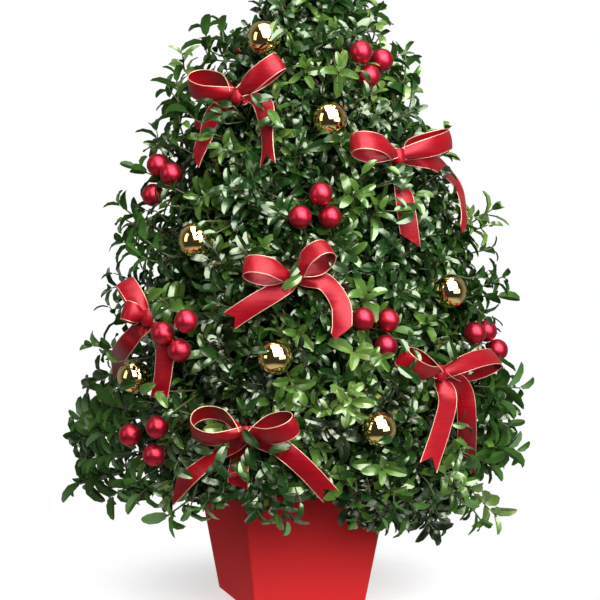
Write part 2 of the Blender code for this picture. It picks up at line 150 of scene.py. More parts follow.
def on_crown(height, radius, azimuth):
    """The point at a height, a distance from the axis and an angle."""
    return axis_at(height) + Vector((math.cos(azimuth), math.sin(azimuth), 0)) * radius


def outward(point):
    """The crown's outward direction near a point: sideways, and up as far as the outline slopes."""
    azimuth, _ = around(point)
    step = 0.01
    slope = (reach(point.z - step, azimuth) - reach(point.z + step, azimuth)) / (2 * step)
    rise = max(STEEPEST_DOWN, min(slope, STEEPEST_UP))
    return Vector((math.cos(azimuth), math.sin(azimuth), rise)).normalized()


def pot_half(height):
    """Half the pot's width at a height."""
    return (POT_FOOT + (POT_RIM - POT_FOOT) * height / POT_HEIGHT) / 2


print("crown radius at the skirt", round(reach(0.12, 0), 4), "and near the tip", round(reach(0.5, 0), 4))

# %% [markdown]
# ## From a pixel to the crown
#
# Each bow and ball has a place in the picture. A line from the eye through that pixel meets the crown's
# outline at one point, which is where the piece sits in space, so it rests on the foliage from any side.
# A copy for the far side keeps its height, within a few millimetres, and turns nearly half round the
# axis. The outermost copies are drawn in towards the far side's middle, or they would peep past the
# crown's thin edge.

# %% Shoot a line through a pixel
SEARCH_START = 0.26      # how far before the axis the search along a line starts
SEARCH_STEP = 0.002
SEARCH_STEPS = 260
DENSE_SKIN = -0.016      # the dense foliage's skin, inside the crown's outline
TO_VIEWER = 0.9
Place = namedtuple("Place", "turn rise")
FRONT = Place(0.0, 0.0)
BACK = Place(math.radians(170), 0.004)
FRONT_AZIMUTH = math.atan2(-AHEAD.y, -AHEAD.x)
DRAWN_IN = 0.15


def moved(point, place):
    """Turns a point round the crown's axis and lifts it, keeping its distance to the outline."""
    azimuth, radius = around(point)
    height = point.z + place.rise
    lift = radius - reach(point.z, azimuth)
    return on_crown(height, reach(height, azimuth + place.turn) + lift, azimuth + place.turn)


def at_pixel(pixel, lift=0.0, place=FRONT):
    """Where a pixel's line meets the dense foliage's skin, or the line's nearest point where it misses."""
    across, down = pixel
    middle = IMAGE_SIDE / 2
    line = AHEAD + RIGHT * (across - middle) / FOCAL_PIXELS + UP * (middle - down) / FOCAL_PIXELS
    best, least = None, 1.0
    for k in range(SEARCH_STEPS):
        point = EYE + line * (VIEW_DISTANCE - SEARCH_START + k * SEARCH_STEP)
        azimuth, radius = around(point)
        over = radius - reach(point.z, azimuth) - lift - DENSE_SKIN
        if over < least:
            best, least = point, over
        if over < 0:
            break
    return moved(best, place) if place.turn else best


def facing(point, place=FRONT):
    """Outward at a point, turned towards whoever looks from that side."""
    toward = Matrix.Rotation(place.turn, 3, "Z") @ -AHEAD
    return (outward(point) + toward * TO_VIEWER).normalized()


def drawn_in(pixels, place):
    """The place of one trimming, given the pixels that it covers."""
    asides = [math.remainder(around(at_pixel(pixel))[0] - FRONT_AZIMUTH, 2 * math.pi) for pixel in pixels]
    most = max(asides, key=abs)
    return place._replace(turn=place.turn - DRAWN_IN * most * abs(most)) if place.turn else place


print("pixel (300, 300) lies at", [round(x, 3) for x in at_pixel((300, 300))])

# %% [markdown]
# ## A pile of small parts
#
# A tree has thousands of leaves, and an object for each would be slow to draw and hard to store. We
# gather points and triangles in arrays and make one mesh from many small things at the end. The helper
# below is all the bookkeeping that this takes, and every later step uses it.

# %% The pile, and a list of finished pieces
PIECES = []


def keep(piece, slot, *replaced):
    """Remembers a finished piece, its material slot in the record and the nodes it stands for."""
    PIECES.append((piece, slot, replaced))
    return piece


class Pile:
    """Points and triangles of many small things, joined into one mesh."""

    def __init__(self):
        self.points, self.faces, self.finishes, self.count = [], [], [], 0

    def add(self, points, faces, finish=0):
        self.points.append(np.asarray(points, float).reshape(-1, 3))
        self.faces.append(np.asarray(faces, int).reshape(-1, 3) + self.count)
        self.finishes.append(np.full(len(self.faces[-1]), finish))
        self.count += len(self.points[-1])

    def piece(self, name, *materials, sharp=None):
        mesh = bpy.data.meshes.new(name)
        mesh.from_pydata(np.concatenate(self.points).tolist(), [], np.concatenate(self.faces).tolist())
        for material in materials:
            mesh.materials.append(material)
        mesh.polygons.foreach_set("material_index", np.concatenate(self.finishes).astype(np.int32))
        mesh.shade_smooth()
        if sharp:
            mesh.set_sharp_from_angle(angle=math.radians(sharp))
        made = bpy.data.objects.new(name, mesh)
        bpy.context.scene.collection.objects.link(made)
        print(name, len(mesh.polygons), "faces")
        return made


print("a pile joins many small things, and", len(PIECES), "pieces are finished so far")

# %% [markdown]
# ## Tubes and turned bodies
#
# Stems, wires and ribbon edges are tubes: a ring of points carried along a path. Balls, caps and crumbs
# are turned: a ring whose size changes along a straight axis. Curve objects could make both, but they
# must become meshes in the end, and as arrays thousands of twigs take only seconds.

# %% Rings, tubes and turned bodies


def bands(rings, sides):
    """Triangles between rings of equally many points, each ring joined round."""
    r, s = np.meshgrid(np.arange(rings - 1), np.arange(sides), indexing="ij")
    a, b = r * sides + s, r * sides + (s + 1) % sides
    return np.stack([a, b, b + sides, a, b + sides, a + sides], -1).reshape(-1, 3)


def caps(rings, sides):
    """Triangles that close the first and the last ring, each on a middle point added after the rings."""
    s = np.arange(sides)
    after = (s + 1) % sides
    last = (rings - 1) * sides
    first_cap = np.stack([after, s, np.full(sides, rings * sides)], -1)
    last_cap = np.stack([last + s, last + after, np.full(sides, rings * sides + 1)], -1)
    return np.concatenate([first_cap, last_cap])


def across_path(path):
    """At each point of a path: its direction, and two directions square to it that don't spin."""
    path = [Vector(point) for point in path]
    ahead = [(b - a).normalized() for a, b in zip(path, path[1:])]
    tangents = [ahead[0]] + [(a + b).normalized() for a, b in zip(ahead, ahead[1:])] + [ahead[-1]]
    side = tangents[0].orthogonal().normalized()
    sides = []
    for tangent in tangents:
        side = (side - tangent * side.dot(tangent)).normalized()
        sides.append(side)
    return np.array(tangents), np.array(sides), np.cross(np.array(tangents), np.array(sides))


def tube(path, radii, sides):
    """A round limb along a path, closed at both ends."""
    _, side, other = across_path(path)
    angle = np.arange(sides) * 2 * math.pi / sides
    out = side[:, None] * np.cos(angle)[None, :, None] + other[:, None] * np.sin(angle)[None, :, None]
    rings = np.array(path)[:, None] + out * np.asarray(radii, float).reshape(len(path), -1, 1)
    points = np.concatenate([rings.reshape(-1, 3), [path[0], path[-1]]])
    return points, np.concatenate([bands(len(path), sides), caps(len(path), sides)])


def turned(profile, sides, centre, axis):
    """A body turned from a profile of (radius, height) round an axis, from its foot up."""
    axis = Vector(axis).normalized()
    side = axis.orthogonal().normalized()
    other = axis.cross(side)
    angle = np.arange(sides) * 2 * math.pi / sides
    ring = np.cos(angle)[:, None] * np.array(side) + np.sin(angle)[:, None] * np.array(other)
    radii, heights = np.array(profile).T
    centres = np.array(centre) + heights[:, None] * np.array(axis)
    rings = centres[:, None] + ring[None] * radii[:, None, None]
    points = np.concatenate([rings.reshape(-1, 3), centres[[0, -1]]])
    return points, np.concatenate([bands(len(profile), sides), caps(len(profile), sides)])


STRAIGHT = [(0, 0, 0), (0, 0, 1), (0, 0, 2)]
print("a tube of 3 rings and 6 sides has", len(tube(STRAIGHT, [1, 1, 1], 6)[1]), "triangles")

# %% [markdown]
# ## Thin sheets
#
# Ribbon is a sheet with a real thickness. A Solidify modifier would do it too, but a closed mesh from the
# start has no surprises when it is exported: the grid is shifted to either side and the rim is joined.

# %% Sheets


def sheet(grid, thickness):
    """A closed thin sheet from a grid of points, half its thickness to either side of them."""
    along, over = np.gradient(grid, axis=0), np.gradient(grid, axis=1)
    normal = np.cross(along, over)
    normal /= np.linalg.norm(normal, axis=2, keepdims=True) + 1e-12
    rows, columns = grid.shape[:2]
    points = np.concatenate([(grid + normal * thickness / 2).reshape(-1, 3),
                             (grid - normal * thickness / 2).reshape(-1, 3)])
    r, c = np.meshgrid(np.arange(rows - 1), np.arange(columns - 1), indexing="ij")
    a = (r * columns + c).ravel()
    top = np.concatenate([np.stack([a, a + columns, a + columns + 1], -1),
                          np.stack([a, a + columns + 1, a + 1], -1)])
    under = rows * columns
    rim = np.concatenate([np.arange(columns), np.arange(1, rows) * columns + columns - 1,
                          (rows - 1) * columns + np.arange(columns - 2, -1, -1),
                          np.arange(rows - 2, 0, -1) * columns])
    after = np.roll(rim, -1)
    edge = np.concatenate([np.stack([rim, after, after + under], -1),
                           np.stack([rim, after + under, rim + under], -1)])
    return points, np.concatenate([top, top[:, ::-1] + under, edge])


SQUARE = np.array([[(0, 0, 0), (0, 1, 0)], [(1, 0, 0), (1, 1, 0)]], float)
print("a sheet of 2 by 2 points has", len(sheet(SQUARE, 0.1)[1]), "triangles")

# %% [markdown]
# ## Finishes
#
# Colours are picked from the picture as screen values, and light works in linear values, so one
# small function turns the first into the second. Each finish is a Principled shader whose colour or
# relief is broken up by noise at the scale of the real surface, because nothing real is one flat colour.

# %% Helpers for materials


def linear(red, green, blue):
    """Screen values 0 to 255 as linear light, with full alpha."""
    share = [value / 255 for value in (red, green, blue)]
    return tuple(s / 12.92 if s <= 0.04045 else ((s + 0.055) / 1.055) ** 2.4 for s in share) + (1.0,)


def shader_of(material):
    return material.node_tree.nodes["Principled BSDF"]


def finish(name, colour, roughness, **sockets):
    """A Principled material. Other sockets are named by keyword, with _ for a space."""
    made = bpy.data.materials.new(name)
    made.use_nodes = True
    made.diffuse_color = colour
    shader = shader_of(made)
    shader.inputs["Base Color"].default_value = colour
    shader.inputs["Roughness"].default_value = roughness
    for socket, value in sockets.items():
        shader.inputs[socket.replace("_", " ")].default_value = value
    return made


def noise_node(material, scale, detail=3.0, stretch=(1, 1, 1)):
    """A noise texture in object space, scale in cells per metre."""
    tree = material.node_tree
    place = tree.nodes.new("ShaderNodeTexCoord")
    sized = tree.nodes.new("ShaderNodeMapping")
    sized.inputs["Scale"].default_value = stretch
    cells = tree.nodes.new("ShaderNodeTexNoise")
    cells.inputs["Scale"].default_value = scale
    cells.inputs["Detail"].default_value = detail
    tree.links.new(place.outputs["Object"], sized.inputs["Vector"])
    tree.links.new(sized.outputs["Vector"], cells.inputs["Vector"])
    return cells


def mottled(material, other, scale, low=0.35, high=0.65, detail=3.0, stretch=(1, 1, 1)):
    """Runs the base colour into another one in patches."""
    tree = material.node_tree
    shader = shader_of(material)
    ramp = tree.nodes.new("ShaderNodeValToRGB")
    ramp.color_ramp.elements[0].position = low
    ramp.color_ramp.elements[1].position = high
    ramp.color_ramp.elements[0].color = shader.inputs["Base Color"].default_value
    ramp.color_ramp.elements[1].color = other
    tree.links.new(noise_node(material, scale, detail, stretch).outputs["Fac"], ramp.inputs["Fac"])
    tree.links.new(ramp.outputs["Color"], shader.inputs["Base Color"])
    return material


def relief(material, scale, height, detail=3.0, stretch=(1, 1, 1)):
    """Fine relief by a bump, height in metres, chained onto any relief that is already there."""
    tree = material.node_tree
    shader = shader_of(material)
    bump = tree.nodes.new("ShaderNodeBump")
    bump.inputs["Distance"].default_value = height
    bump.inputs["Strength"].default_value = 1.0
    for link in shader.inputs["Normal"].links:
        tree.links.new(link.from_socket, bump.inputs["Normal"])
    tree.links.new(noise_node(material, scale, detail, stretch).outputs["Fac"], bump.inputs["Height"])
    tree.links.new(bump.outputs["Normal"], shader.inputs["Normal"])
    return material


print("the middle screen value 128 is", round(linear(128, 128, 128)[0], 3), "of full light")

# %% [markdown]
# ## The pot
#
# The pot is slip-cast and glazed a satin red: flat tapered faces, corners rounded by about two
# millimetres, and a soft rim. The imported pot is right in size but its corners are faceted, so a finer
# one is lofted from rounded squares. A loft gives clean rings that shade smoothly, where a bevelled cube
# would need its corners repaired.

# %% Loft the pot
POT_WALL = 0.0035
POT_FLOOR = 0.005
POT_CORNER = 0.0022
RIM_ROUND = 0.00175
FOOT_ROUND = 0.0008
INNER_CORNER = 0.0006
CORNER_POINTS = 7
SIDE_POINTS = 6
FOOT_POINTS = 5
RIM_POINTS = 11
OUTSIDE_SHARES = (0.1, 0.3, 0.5, 0.7, 0.9)
INSIDE_SHARES = (0.9, 0.6, 0.3)


def rounded_square(half, corner, height):
    """A ring of points round a square with rounded corners."""
    ring = []
    middle = half - corner
    for quarter in range(4):
        turn = Matrix.Rotation(quarter * math.pi / 2, 3, "Z")
        for k in range(1, SIDE_POINTS):
            ring.append(turn @ Vector((half, middle * (2 * k / SIDE_POINTS - 1), 0)))
        for k in range(CORNER_POINTS):
            a = k / (CORNER_POINTS - 1) * math.pi / 2
            ring.append(turn @ Vector((middle + corner * math.cos(a), middle + corner * math.sin(a), 0)))
    return [(point.x, point.y, height) for point in ring]


def pot_profile():
    """(how far inside the outer face, height) from the underside, up the outside, and down the inside."""
    profile = [(FOOT_ROUND * (1 - math.sin(a)), FOOT_ROUND * (1 - math.cos(a)))
               for a in (k * math.pi / 2 / (FOOT_POINTS - 1) for k in range(FOOT_POINTS))]
    profile += [(0.0, POT_HEIGHT * share) for share in OUTSIDE_SHARES]
    middle = POT_WALL / 2
    profile += [(middle - RIM_ROUND * math.cos(a), POT_HEIGHT - RIM_ROUND + RIM_ROUND * math.sin(a))
                for a in (k * math.pi / (RIM_POINTS - 1) for k in range(RIM_POINTS))]
    profile += [(POT_WALL, POT_HEIGHT * share) for share in INSIDE_SHARES]
    return profile + [(POT_WALL, POT_FLOOR)]


pot_rings = [rounded_square(pot_half(height) - inside, max(POT_CORNER - inside, INNER_CORNER), height)
             for inside, height in pot_profile()]
pot_sizes = (len(pot_rings), len(pot_rings[0]))
pot_points = np.concatenate([np.array(pot_rings).reshape(-1, 3), [(0, 0, 0), (0, 0, POT_FLOOR)]])
pot_pile = Pile()
pot_pile.add(pot_points, np.concatenate([bands(*pot_sizes), caps(*pot_sizes)]))

glaze = finish("satin_red_glaze", linear(182, 41, 43), 0.55, Specular_IOR_Level=0.01)
mottled(glaze, linear(178, 37, 39), 9, 0.3, 0.7, 4)
relief(glaze, 26, 0.00035, 2)
relief(glaze, 420, 0.00002, 2)
keep(pot_pile.piece("pot_glazed", glaze, sharp=50), "pot", "pot")

# %% [markdown]
# ## Potting mix
#
# Peat and bark, seen only from low down under the skirt. It could be a plane with a bump, but the light
# grazes it, so real relief pays: a block whose top is pushed about by noise, and loose crumbs on it. The
# crumbs are squashed, knocked-about little spheres, all in one pile.

# %% Block and crumbs
GAP = 0.0003
SOIL_BUMP = 0.0015
SOIL_HOLLOW = 0.004
SOIL_WAVES = ((90, 0, 0.0016), (300, 3, 0.0009))     # noise per metre, its layer, and how high it is
SOIL_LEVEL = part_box("potting_mix")[1].z - SOIL_BUMP
SOIL_CELLS = 44
CRUMBS = 520
CRUMB_SIZES = (0.0008, 0.0022)
CRUMB_PROFILE = ((0.3, -0.6), (0.9, -0.35), (1.0, 0.1), (0.6, 0.5), (0.2, 0.62))
CRUMB_SIDES = 5
CRUMB_MARGIN = 0.003
soil_rng = random.Random(5)


def soil_height(x, y):
    """The mix's rough top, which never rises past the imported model's."""
    rough = sum(noise.noise(Vector((x * scale, y * scale, layer))) * height
                for scale, layer, height in SOIL_WAVES)
    return SOIL_LEVEL + max(-SOIL_HOLLOW, min(rough, SOIL_BUMP))


soil_half = pot_half(SOIL_LEVEL) - POT_WALL - GAP
steps = np.linspace(-soil_half, soil_half, SOIL_CELLS)
top = np.array([[(x, y, soil_height(x, y)) for y in steps] for x in steps])
foot_share = (pot_half(POT_FLOOR) - POT_WALL - GAP) / soil_half
bottom = top * [foot_share, foot_share, 0] + [0, 0, POT_FLOOR + GAP]
points, faces = sheet(top, 0)
points[SOIL_CELLS ** 2:] = bottom.reshape(-1, 3)
soil_pile = Pile()
soil_pile.add(points, faces)

crumb_pile = Pile()
for _ in range(CRUMBS):
    x, y = (soil_rng.uniform(-0.97, 0.97) * (soil_half - CRUMB_MARGIN) for _ in "xy")
    size = soil_rng.uniform(*CRUMB_SIZES)
    lean = Vector([soil_rng.uniform(-1, 1) for _ in "xyz"])
    profile = [(size * radius, size * height) for radius, height in CRUMB_PROFILE]
    points, faces = turned(profile, CRUMB_SIDES, (x, y, soil_height(x, y) + size * 0.3), lean)
    points += np.array([[soil_rng.uniform(-0.25, 0.25) * size for _ in "xyz"] for _ in points])
    crumb_pile.add(points, faces)

peat = mottled(finish("peat", linear(38, 28, 20), 0.95), linear(74, 54, 36), 420, 0.4, 0.7, 5)
relief(peat, 900, 0.0006, 6)
chips = mottled(finish("bark_chips", linear(62, 44, 30), 0.9), linear(112, 86, 60), 300, 0.35, 0.7, 4)
relief(chips, 700, 0.0004, 4)
keep(soil_pile.piece("potting_mix_bed", peat, sharp=40), "potting_mix", "potting_mix")
keep(crumb_pile.piece("potting_mix_crumbs", chips, sharp=30), "potting_mix")

# %% [markdown]
# ## Stem and boughs
#
# Boxwood bark is grey-brown and split into fine plates. The limbs follow the source's own rule: one
# stem that leans with the crown, and whorls of boughs that curve out to the masses. Each is a ring loft
# whose radius is roughened by noise stretched along the limb, so that the bark's relief is in the mesh.

# %% Whorls, stem path and bough paths
Whorl = namedtuple("Whorl", "name count low high inner turn leaves_stem bough_tip twigs")
WHORLS = (
    Whorl("low", 6, 0.080, 0.245, 0.060, 0.20, 0.112, 0.152, 20),
    Whorl("mid", 6, 0.245, 0.340, 0.048, 0.72, 0.206, 0.270, 13),
    Whorl("high", 4, 0.340, 0.418, 0.034, 0.35, 0.306, 0.362, 13),
)
STEM_TOP = 0.405
STEM_FOOT = 0.0075       # radii
STEM_TIP = 0.0022
STEM_BEND = 0.0012
STEM_WAVES = 21
STEM_FLARE = 0.45
STEM_FLARE_HEIGHT = 0.012
STEM_ROOTS = 5
BOUGH_SHARE = 0.42
BOUGH_TAPER = 0.64
BOUGH_STAGGER = 0.008
BOUGH_SHORT = 0.004
ELBOW_OUT = 0.45
ELBOW_UP = 0.72
BARK_DEPTH = 0.11
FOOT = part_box("trunk")[0].z


def bent(start, middle, end, pieces):
    """Points along a quadratic curve."""
    steps = [i / pieces for i in range(pieces + 1)]
    return [start * (1 - t) ** 2 + middle * 2 * t * (1 - t) + end * t * t for t in steps]


def stem_at(height):
    """The stem's middle, which wanders a little about the crown's axis."""
    bend = STEM_BEND * math.sin(height * STEM_WAVES)
    return axis_at(height) + Vector((bend, bend * 0.6, 0))


def stem_radius(height):
    share = (height - FOOT) / (STEM_TOP - FOOT)
    return STEM_FOOT + (STEM_TIP - STEM_FOOT) * share


def bough_path(whorl, i, pieces):
    """From the stem, out and up, to the inner edge of the bough's own mass."""
    middle = whorl.turn + 2 * math.pi * i / whorl.count
    out = Vector((math.cos(middle), math.sin(middle), 0))
    start = stem_at(whorl.leaves_stem + (i % 2) * BOUGH_STAGGER)
    end = axis_at(whorl.bough_tip) + out * (whorl.inner - BOUGH_SHORT)
    elbow = start + out * (end - start).xy.length * ELBOW_OUT
    elbow.z = start.z + (end.z - start.z) * ELBOW_UP
    return bent(start, elbow, end, pieces)


def bark_radii(path, radii, sides, seed):
    """Radii for each point of a limb's rings, roughened along the limb."""
    made = np.zeros((len(path), sides))
    for i, (point, radius) in enumerate(zip(path, radii)):
        for k in range(sides):
            a = 2 * math.pi * k / sides
            spot = Vector((math.cos(a) * 2.2, math.sin(a) * 2.2, point.length * 60 + seed))
            plate = noise.noise(spot) + 0.6 * noise.noise(spot * 2.7)
            made[i, k] = radius * (1 + BARK_DEPTH * plate)
    return made


print(sum(whorl.count for whorl in WHORLS), "boughs in", len(WHORLS), "whorls")

# %% [markdown]
# ## From paths to limbs
#
# The real stem spreads a little where it enters the mix, over its first roots. A Skin modifier could wrap
# limbs round a few points, but its rings have only four corners, and bark needs many. So each limb is one
# tube with its own radius at every point, and the stem's rings widen near the foot in five soft ribs.

# %% Build the limbs
STEM_SIDES = 24
STEM_RINGS = 190
BOUGH_SIDES = 12
BOUGH_RINGS = 41
stem_heights = np.linspace(FOOT, STEM_TOP, STEM_RINGS)
stem_path = [stem_at(height) for height in stem_heights]
stem_radii = bark_radii(stem_path, [stem_radius(height) for height in stem_heights], STEM_SIDES, 0)
angles = np.arange(STEM_SIDES) * 2 * math.pi / STEM_SIDES
for row, height in zip(stem_radii, stem_heights):
    flare = STEM_FLARE * math.exp(-(height - FOOT) / STEM_FLARE_HEIGHT)
    row *= 1 + flare * (0.6 + 0.4 * np.cos(STEM_ROOTS * angles))
stem_pile = Pile()
stem_pile.add(*tube(stem_path, stem_radii, STEM_SIDES))

bough_pile = Pile()
for whorl in WHORLS:
    for i in range(whorl.count):
        path = bough_path(whorl, i, BOUGH_RINGS - 1)
        base = BOUGH_SHARE * stem_radius(path[0].z)
        radii = np.linspace(base, base * BOUGH_TAPER, len(path))
        bough_pile.add(*tube(path, bark_radii(path, radii, BOUGH_SIDES, i + 9), BOUGH_SIDES))

bark = finish("boxwood_bark", linear(92, 78, 58), 0.88)
mottled(bark, linear(136, 122, 98), 240, 0.35, 0.65, 5, (1, 1, 0.3))
relief(bark, 520, 0.0006, 5, (1, 1, 0.25))
keep(stem_pile.piece("trunk_bark", bark), "bark", "trunk")
keep(bough_pile.piece("boughs_bark", bark), "bark", *BOUGHS)

# %% [markdown]
# ## Gold and red balls
#
# The gold balls are blown plastic with a mirror coat: they show two soft windows and the dark leaves
# round them, so their finish is nearly pure reflection. The red ones are satin, which spreads each
# window into a glow. A sphere from Blender's own menu would do, but a ball is turned from a profile here
# like its crimped cap, which faces the stem, where the florist's wire goes in. Places are pixels, named
# for where each one hangs.

# %% Where the balls hang
GOLD_RADIUS = 0.0125
RED_RADIUS = 0.0084
GOLD_PIXELS = {
    "under_the_tip": (264, 38), "upper_right": (330, 119), "upper_left": (195, 240), "right": (450, 291),
    "middle": (275, 357), "far_left": (134, 377), "lower_right": (379, 429),
}
RED_PIXELS = {
    "upper_right": ((361, 52), (382, 60), (369, 76)), "upper_left": ((158, 165), (171, 174), (153, 195)),
    "middle": ((321, 194), (300, 217), (330, 217)), "left": ((186, 321), (165, 336), (177, 348)),
    "right": ((363, 319), (388, 320), (386, 346)), "far_right": ((475, 333), (486, 331), (497, 350)),
    "lower_left": ((130, 435), (157, 427), (154, 455)),
}
GOLD_SUNK = {"far_left": 0.9, "upper_left": 0.7}      # shares of a radius, where not the usual one
RED_SUNK = {"left": -1.3}
USUAL_GOLD_SUNK = 0.35
USUAL_RED_SUNK = 0.2
RED_SUNK_STEP = 0.4      # each ball of a cluster lies deeper than the one before
FRONT_ONLY = "far_right"
APART_ROUNDS = 12
BALL_GAP = 0.0002
Ball = namedtuple("Ball", "centre radius out")


def hang(pixel, radius, place, sunk):
    """A ball whose middle shows at a pixel, sunk into the foliage by a share of its radius."""
    centre = at_pixel(pixel, -radius * sunk, place)
    return Ball(centre, radius, facing(centre, place))


def apart(balls):
    """Pushes balls of a cluster apart until they only touch."""
    centres = [ball.centre.copy() for ball in balls]
    for _ in range(APART_ROUNDS):
        for i in range(len(balls)):
            for j in range(i):
                between = centres[i] - centres[j]
                short = balls[i].radius + balls[j].radius + BALL_GAP - between.length
                if short > 0:
                    centres[i] += between.normalized() * short / 2
                    centres[j] -= between.normalized() * short / 2
    return [ball._replace(centre=centre) for ball, centre in zip(balls, centres)]


gold_balls, red_balls = [], []
for place in (FRONT, BACK):
    for name, pixel in GOLD_PIXELS.items():
        sunk = GOLD_SUNK.get(name, USUAL_GOLD_SUNK)
        gold_balls.append(hang(pixel, GOLD_RADIUS, drawn_in([pixel], place), sunk))
    for name, cluster in RED_PIXELS.items():
        if place == BACK and name == FRONT_ONLY:
            continue
        sunk = RED_SUNK.get(name, USUAL_RED_SUNK)
        near = drawn_in(cluster, place)
        red_balls += apart([hang(pixel, RED_RADIUS, near, sunk + RED_SUNK_STEP * n)
                            for n, pixel in enumerate(cluster)])
print(len(gold_balls), "gold balls,", len(red_balls), "red balls")

# %% [markdown]
# ## Balls, caps and wires
#
# A real ball ends in a small crimped cap, and the florist twists a green wire into it and pushes that in
# among the twigs. The wire could be left out, since it hardly shows, but from close by it tells what holds
# the ball. It is a short tube that bends down into the leaves.

# %% Build balls, caps and wires
BALL_RINGS = 18
BALL_SIDES = 30
CAP_RADIUS = 0.0026
CAP_HEIGHT = 0.0022
CAP_SIDES = 12
CAP_PROFILE = ((1.0, -0.3), (1.12, -0.1), (1.04, 0.1), (1.0, 0.6), (0.85, 0.95), (0.3, 1.0))
CAP_RISE = Vector((0, 0, 0.5))
WIRE_RADIUS = 0.00045
WIRE_LENGTH = 0.034
WIRE_POINTS = 7
WIRE_SIDES = 6
WIRE_FALL = Vector((0, 0, 0.6))


def ball_profile(radius):
    """Half a circle, from just past one pole to just before the other."""
    steps = [math.pi * k / BALL_RINGS for k in range(1, BALL_RINGS)]
    return [(radius * math.sin(a), -radius * math.cos(a)) for a in steps]


def cap_profile(radius):
    """A crimped metal cap with a rolled lower edge."""
    foot = math.sqrt(radius ** 2 - CAP_RADIUS ** 2)
    return [(CAP_RADIUS * share, foot + CAP_HEIGHT * rise) for share, rise in CAP_PROFILE]


ball_piles = {"gold": Pile(), "red": Pile()}
cap_pile, wire_pile = Pile(), Pile()
for kind, balls in (("gold", gold_balls), ("red", red_balls)):
    for ball in balls:
        inward = (-ball.out + CAP_RISE).normalized()
        ball_piles[kind].add(*turned(ball_profile(ball.radius), BALL_SIDES, ball.centre, inward))
        cap_pile.add(*turned(cap_profile(ball.radius), CAP_SIDES, ball.centre, inward))
        start = ball.centre + inward * (ball.radius + CAP_HEIGHT * 0.5)
        end = start + (inward - WIRE_FALL).normalized() * WIRE_LENGTH
        wire = bent(start, start + inward * WIRE_LENGTH * 0.4, end, WIRE_POINTS - 1)
        wire_pile.add(*tube(wire, [WIRE_RADIUS] * WIRE_POINTS, WIRE_SIDES))

gold = finish("mirror_gold", linear(246, 216, 142), 0.06, Metallic=1.0)
relief(gold, 60, 0.00006, 1)
red_satin = finish("satin_crimson", linear(196, 46, 64), 0.35, Metallic=0.9)
mottled(red_satin, linear(184, 36, 54), 500, 0.4, 0.6)
cap_metal = relief(finish("cap_brass", linear(186, 158, 96), 0.28, Metallic=1.0), 900, 0.0001)
wire_green = mottled(finish("green_florist_wire", linear(44, 66, 40), 0.5), linear(30, 48, 28), 300)
keep(ball_piles["gold"].piece("gold_balls", gold), "gold_balls")
keep(ball_piles["red"].piece("red_balls", red_satin), "red_balls")
keep(cap_pile.piece("ball_caps", cap_metal, sharp=40), "gold_balls")
keep(wire_pile.piece("ball_wires", wire_green), "gold_balls")

# %% [markdown]
# ## Ribbon bows
#
# The ribbon is 14 mm wired satin: a band of red weave with a pale wire along each edge that lets it hold
# a curve. Cloth simulation would lose that, since the wire and not the weave decides the shape. So each
# loop is a teardrop drawn in its own plane, and each tail a smooth line over the foliage. A band is then
# carried along, cupped and gathered where it goes into the knot. A tilt turns a loop to show its hollow.

# %% The bows, by pixel
Loop = namedtuple("Loop", "end tilt puff lift")
Tail = namedtuple("Tail", "pixels cut twist hidden lean rise", defaults=(0.0, 0, 0.0))
Bow = namedtuple("Bow", "knot loops tails")
BOWS = {
    "upper_left": Bow(
        (237, 95),
        (Loop((191, 81), 46, 0.0110, 0.010), Loop((281, 60), 8, 0.0085, 0.014)),
        (Tail(((240, 97), (251, 96), (263, 104), (266, 132), (267, 165)), "notch", -50, 0.26),
         Tail(((233, 98), (214, 116), (204, 138), (192, 164)), "slant", -25, 0.42)),
    ),
    "upper_right": Bow(
        (399, 156),
        (Loop((352, 142), -18, 0.0100, 0.012), Loop((447, 138), 14, 0.0120, 0.012)),
        (Tail(((402, 156), (434, 161), (457, 183), (465, 212), (464, 236)), "point", 12, 0.0, -18),
         Tail(((399, 158), (400, 172), (404, 192), (408, 220), (412, 249)), "slant", -8, 0.36)),
    ),
    "middle": Bow(
        (294, 278),
        (Loop((243, 266), -24, 0.0090, 0.014), Loop((331, 247), -34, 0.0100, 0.016)),
        (Tail(((293, 279), (276, 291), (253, 305), (229, 321)), "notch", 14),
         Tail(((299, 277), (324, 281), (340, 302), (342, 322), (340, 340)), "point", -18)),
    ),
    "far_left": Bow(
        (147, 318),
        (Loop((124, 282), -28, 0.0080, 0.006), Loop((123, 310), -10, 0.0085, 0.012)),
        (Tail(((146, 321), (134, 334), (120, 352), (110, 372)), "slant", 14),
         Tail(((153, 324), (164, 345), (163, 370), (158, 401)), "notch", -8)),
    ),
    "right": Bow(
        (440, 373),
        (Loop((402, 358), 46, 0.0090, 0.006), Loop((496, 361), -32, 0.0105, 0.010)),
        (Tail(((442, 376), (448, 400), (442, 428), (429, 467)), "notch", 6, 0.0, 12, 0.026),
         Tail(((444, 375), (463, 390), (467, 425), (466, 475)), "slant", -10, 0.0, 34, -0.012)),
    ),
    "lower": Bow(
        (246, 434),
        (Loop((191, 421), 44, 0.0125, 0.004), Loop((297, 424), 30, 0.0095, 0.010)),
        (Tail(((243, 436), (219, 453), (194, 472), (169, 497)), "slant", 8, 0.44, 38),
         Tail(((249, 436), (265, 441), (283, 450), (307, 471), (331, 497)), "notch", -8, 0.28, 2),
         Tail(((245, 437), (240, 452), (238, 472), (238, 490)), "slant", 16, 0.66)),
    ),
}
RIBBON_WIDTH = 0.0139
RIBBON_THICKNESS = 0.0004
EDGE_WIRE = 0.00034
EDGE_SIDES = 5
KNOT_LIFT = 0.002
TAIL_LIFT = 0.001
print(len(BOWS), "bows in view, with the same number behind")

# %% [markdown]
# ## From a line to a band
#
# A ribbon that is drawn together cups: its edges curl round towards each other. A bevelled curve would keep
# one section all along, so here each row of points across the band is bent to an arc, tighter where the
# band is gathered. The cut end comes with it: each line along the band stops at its own share of the length.

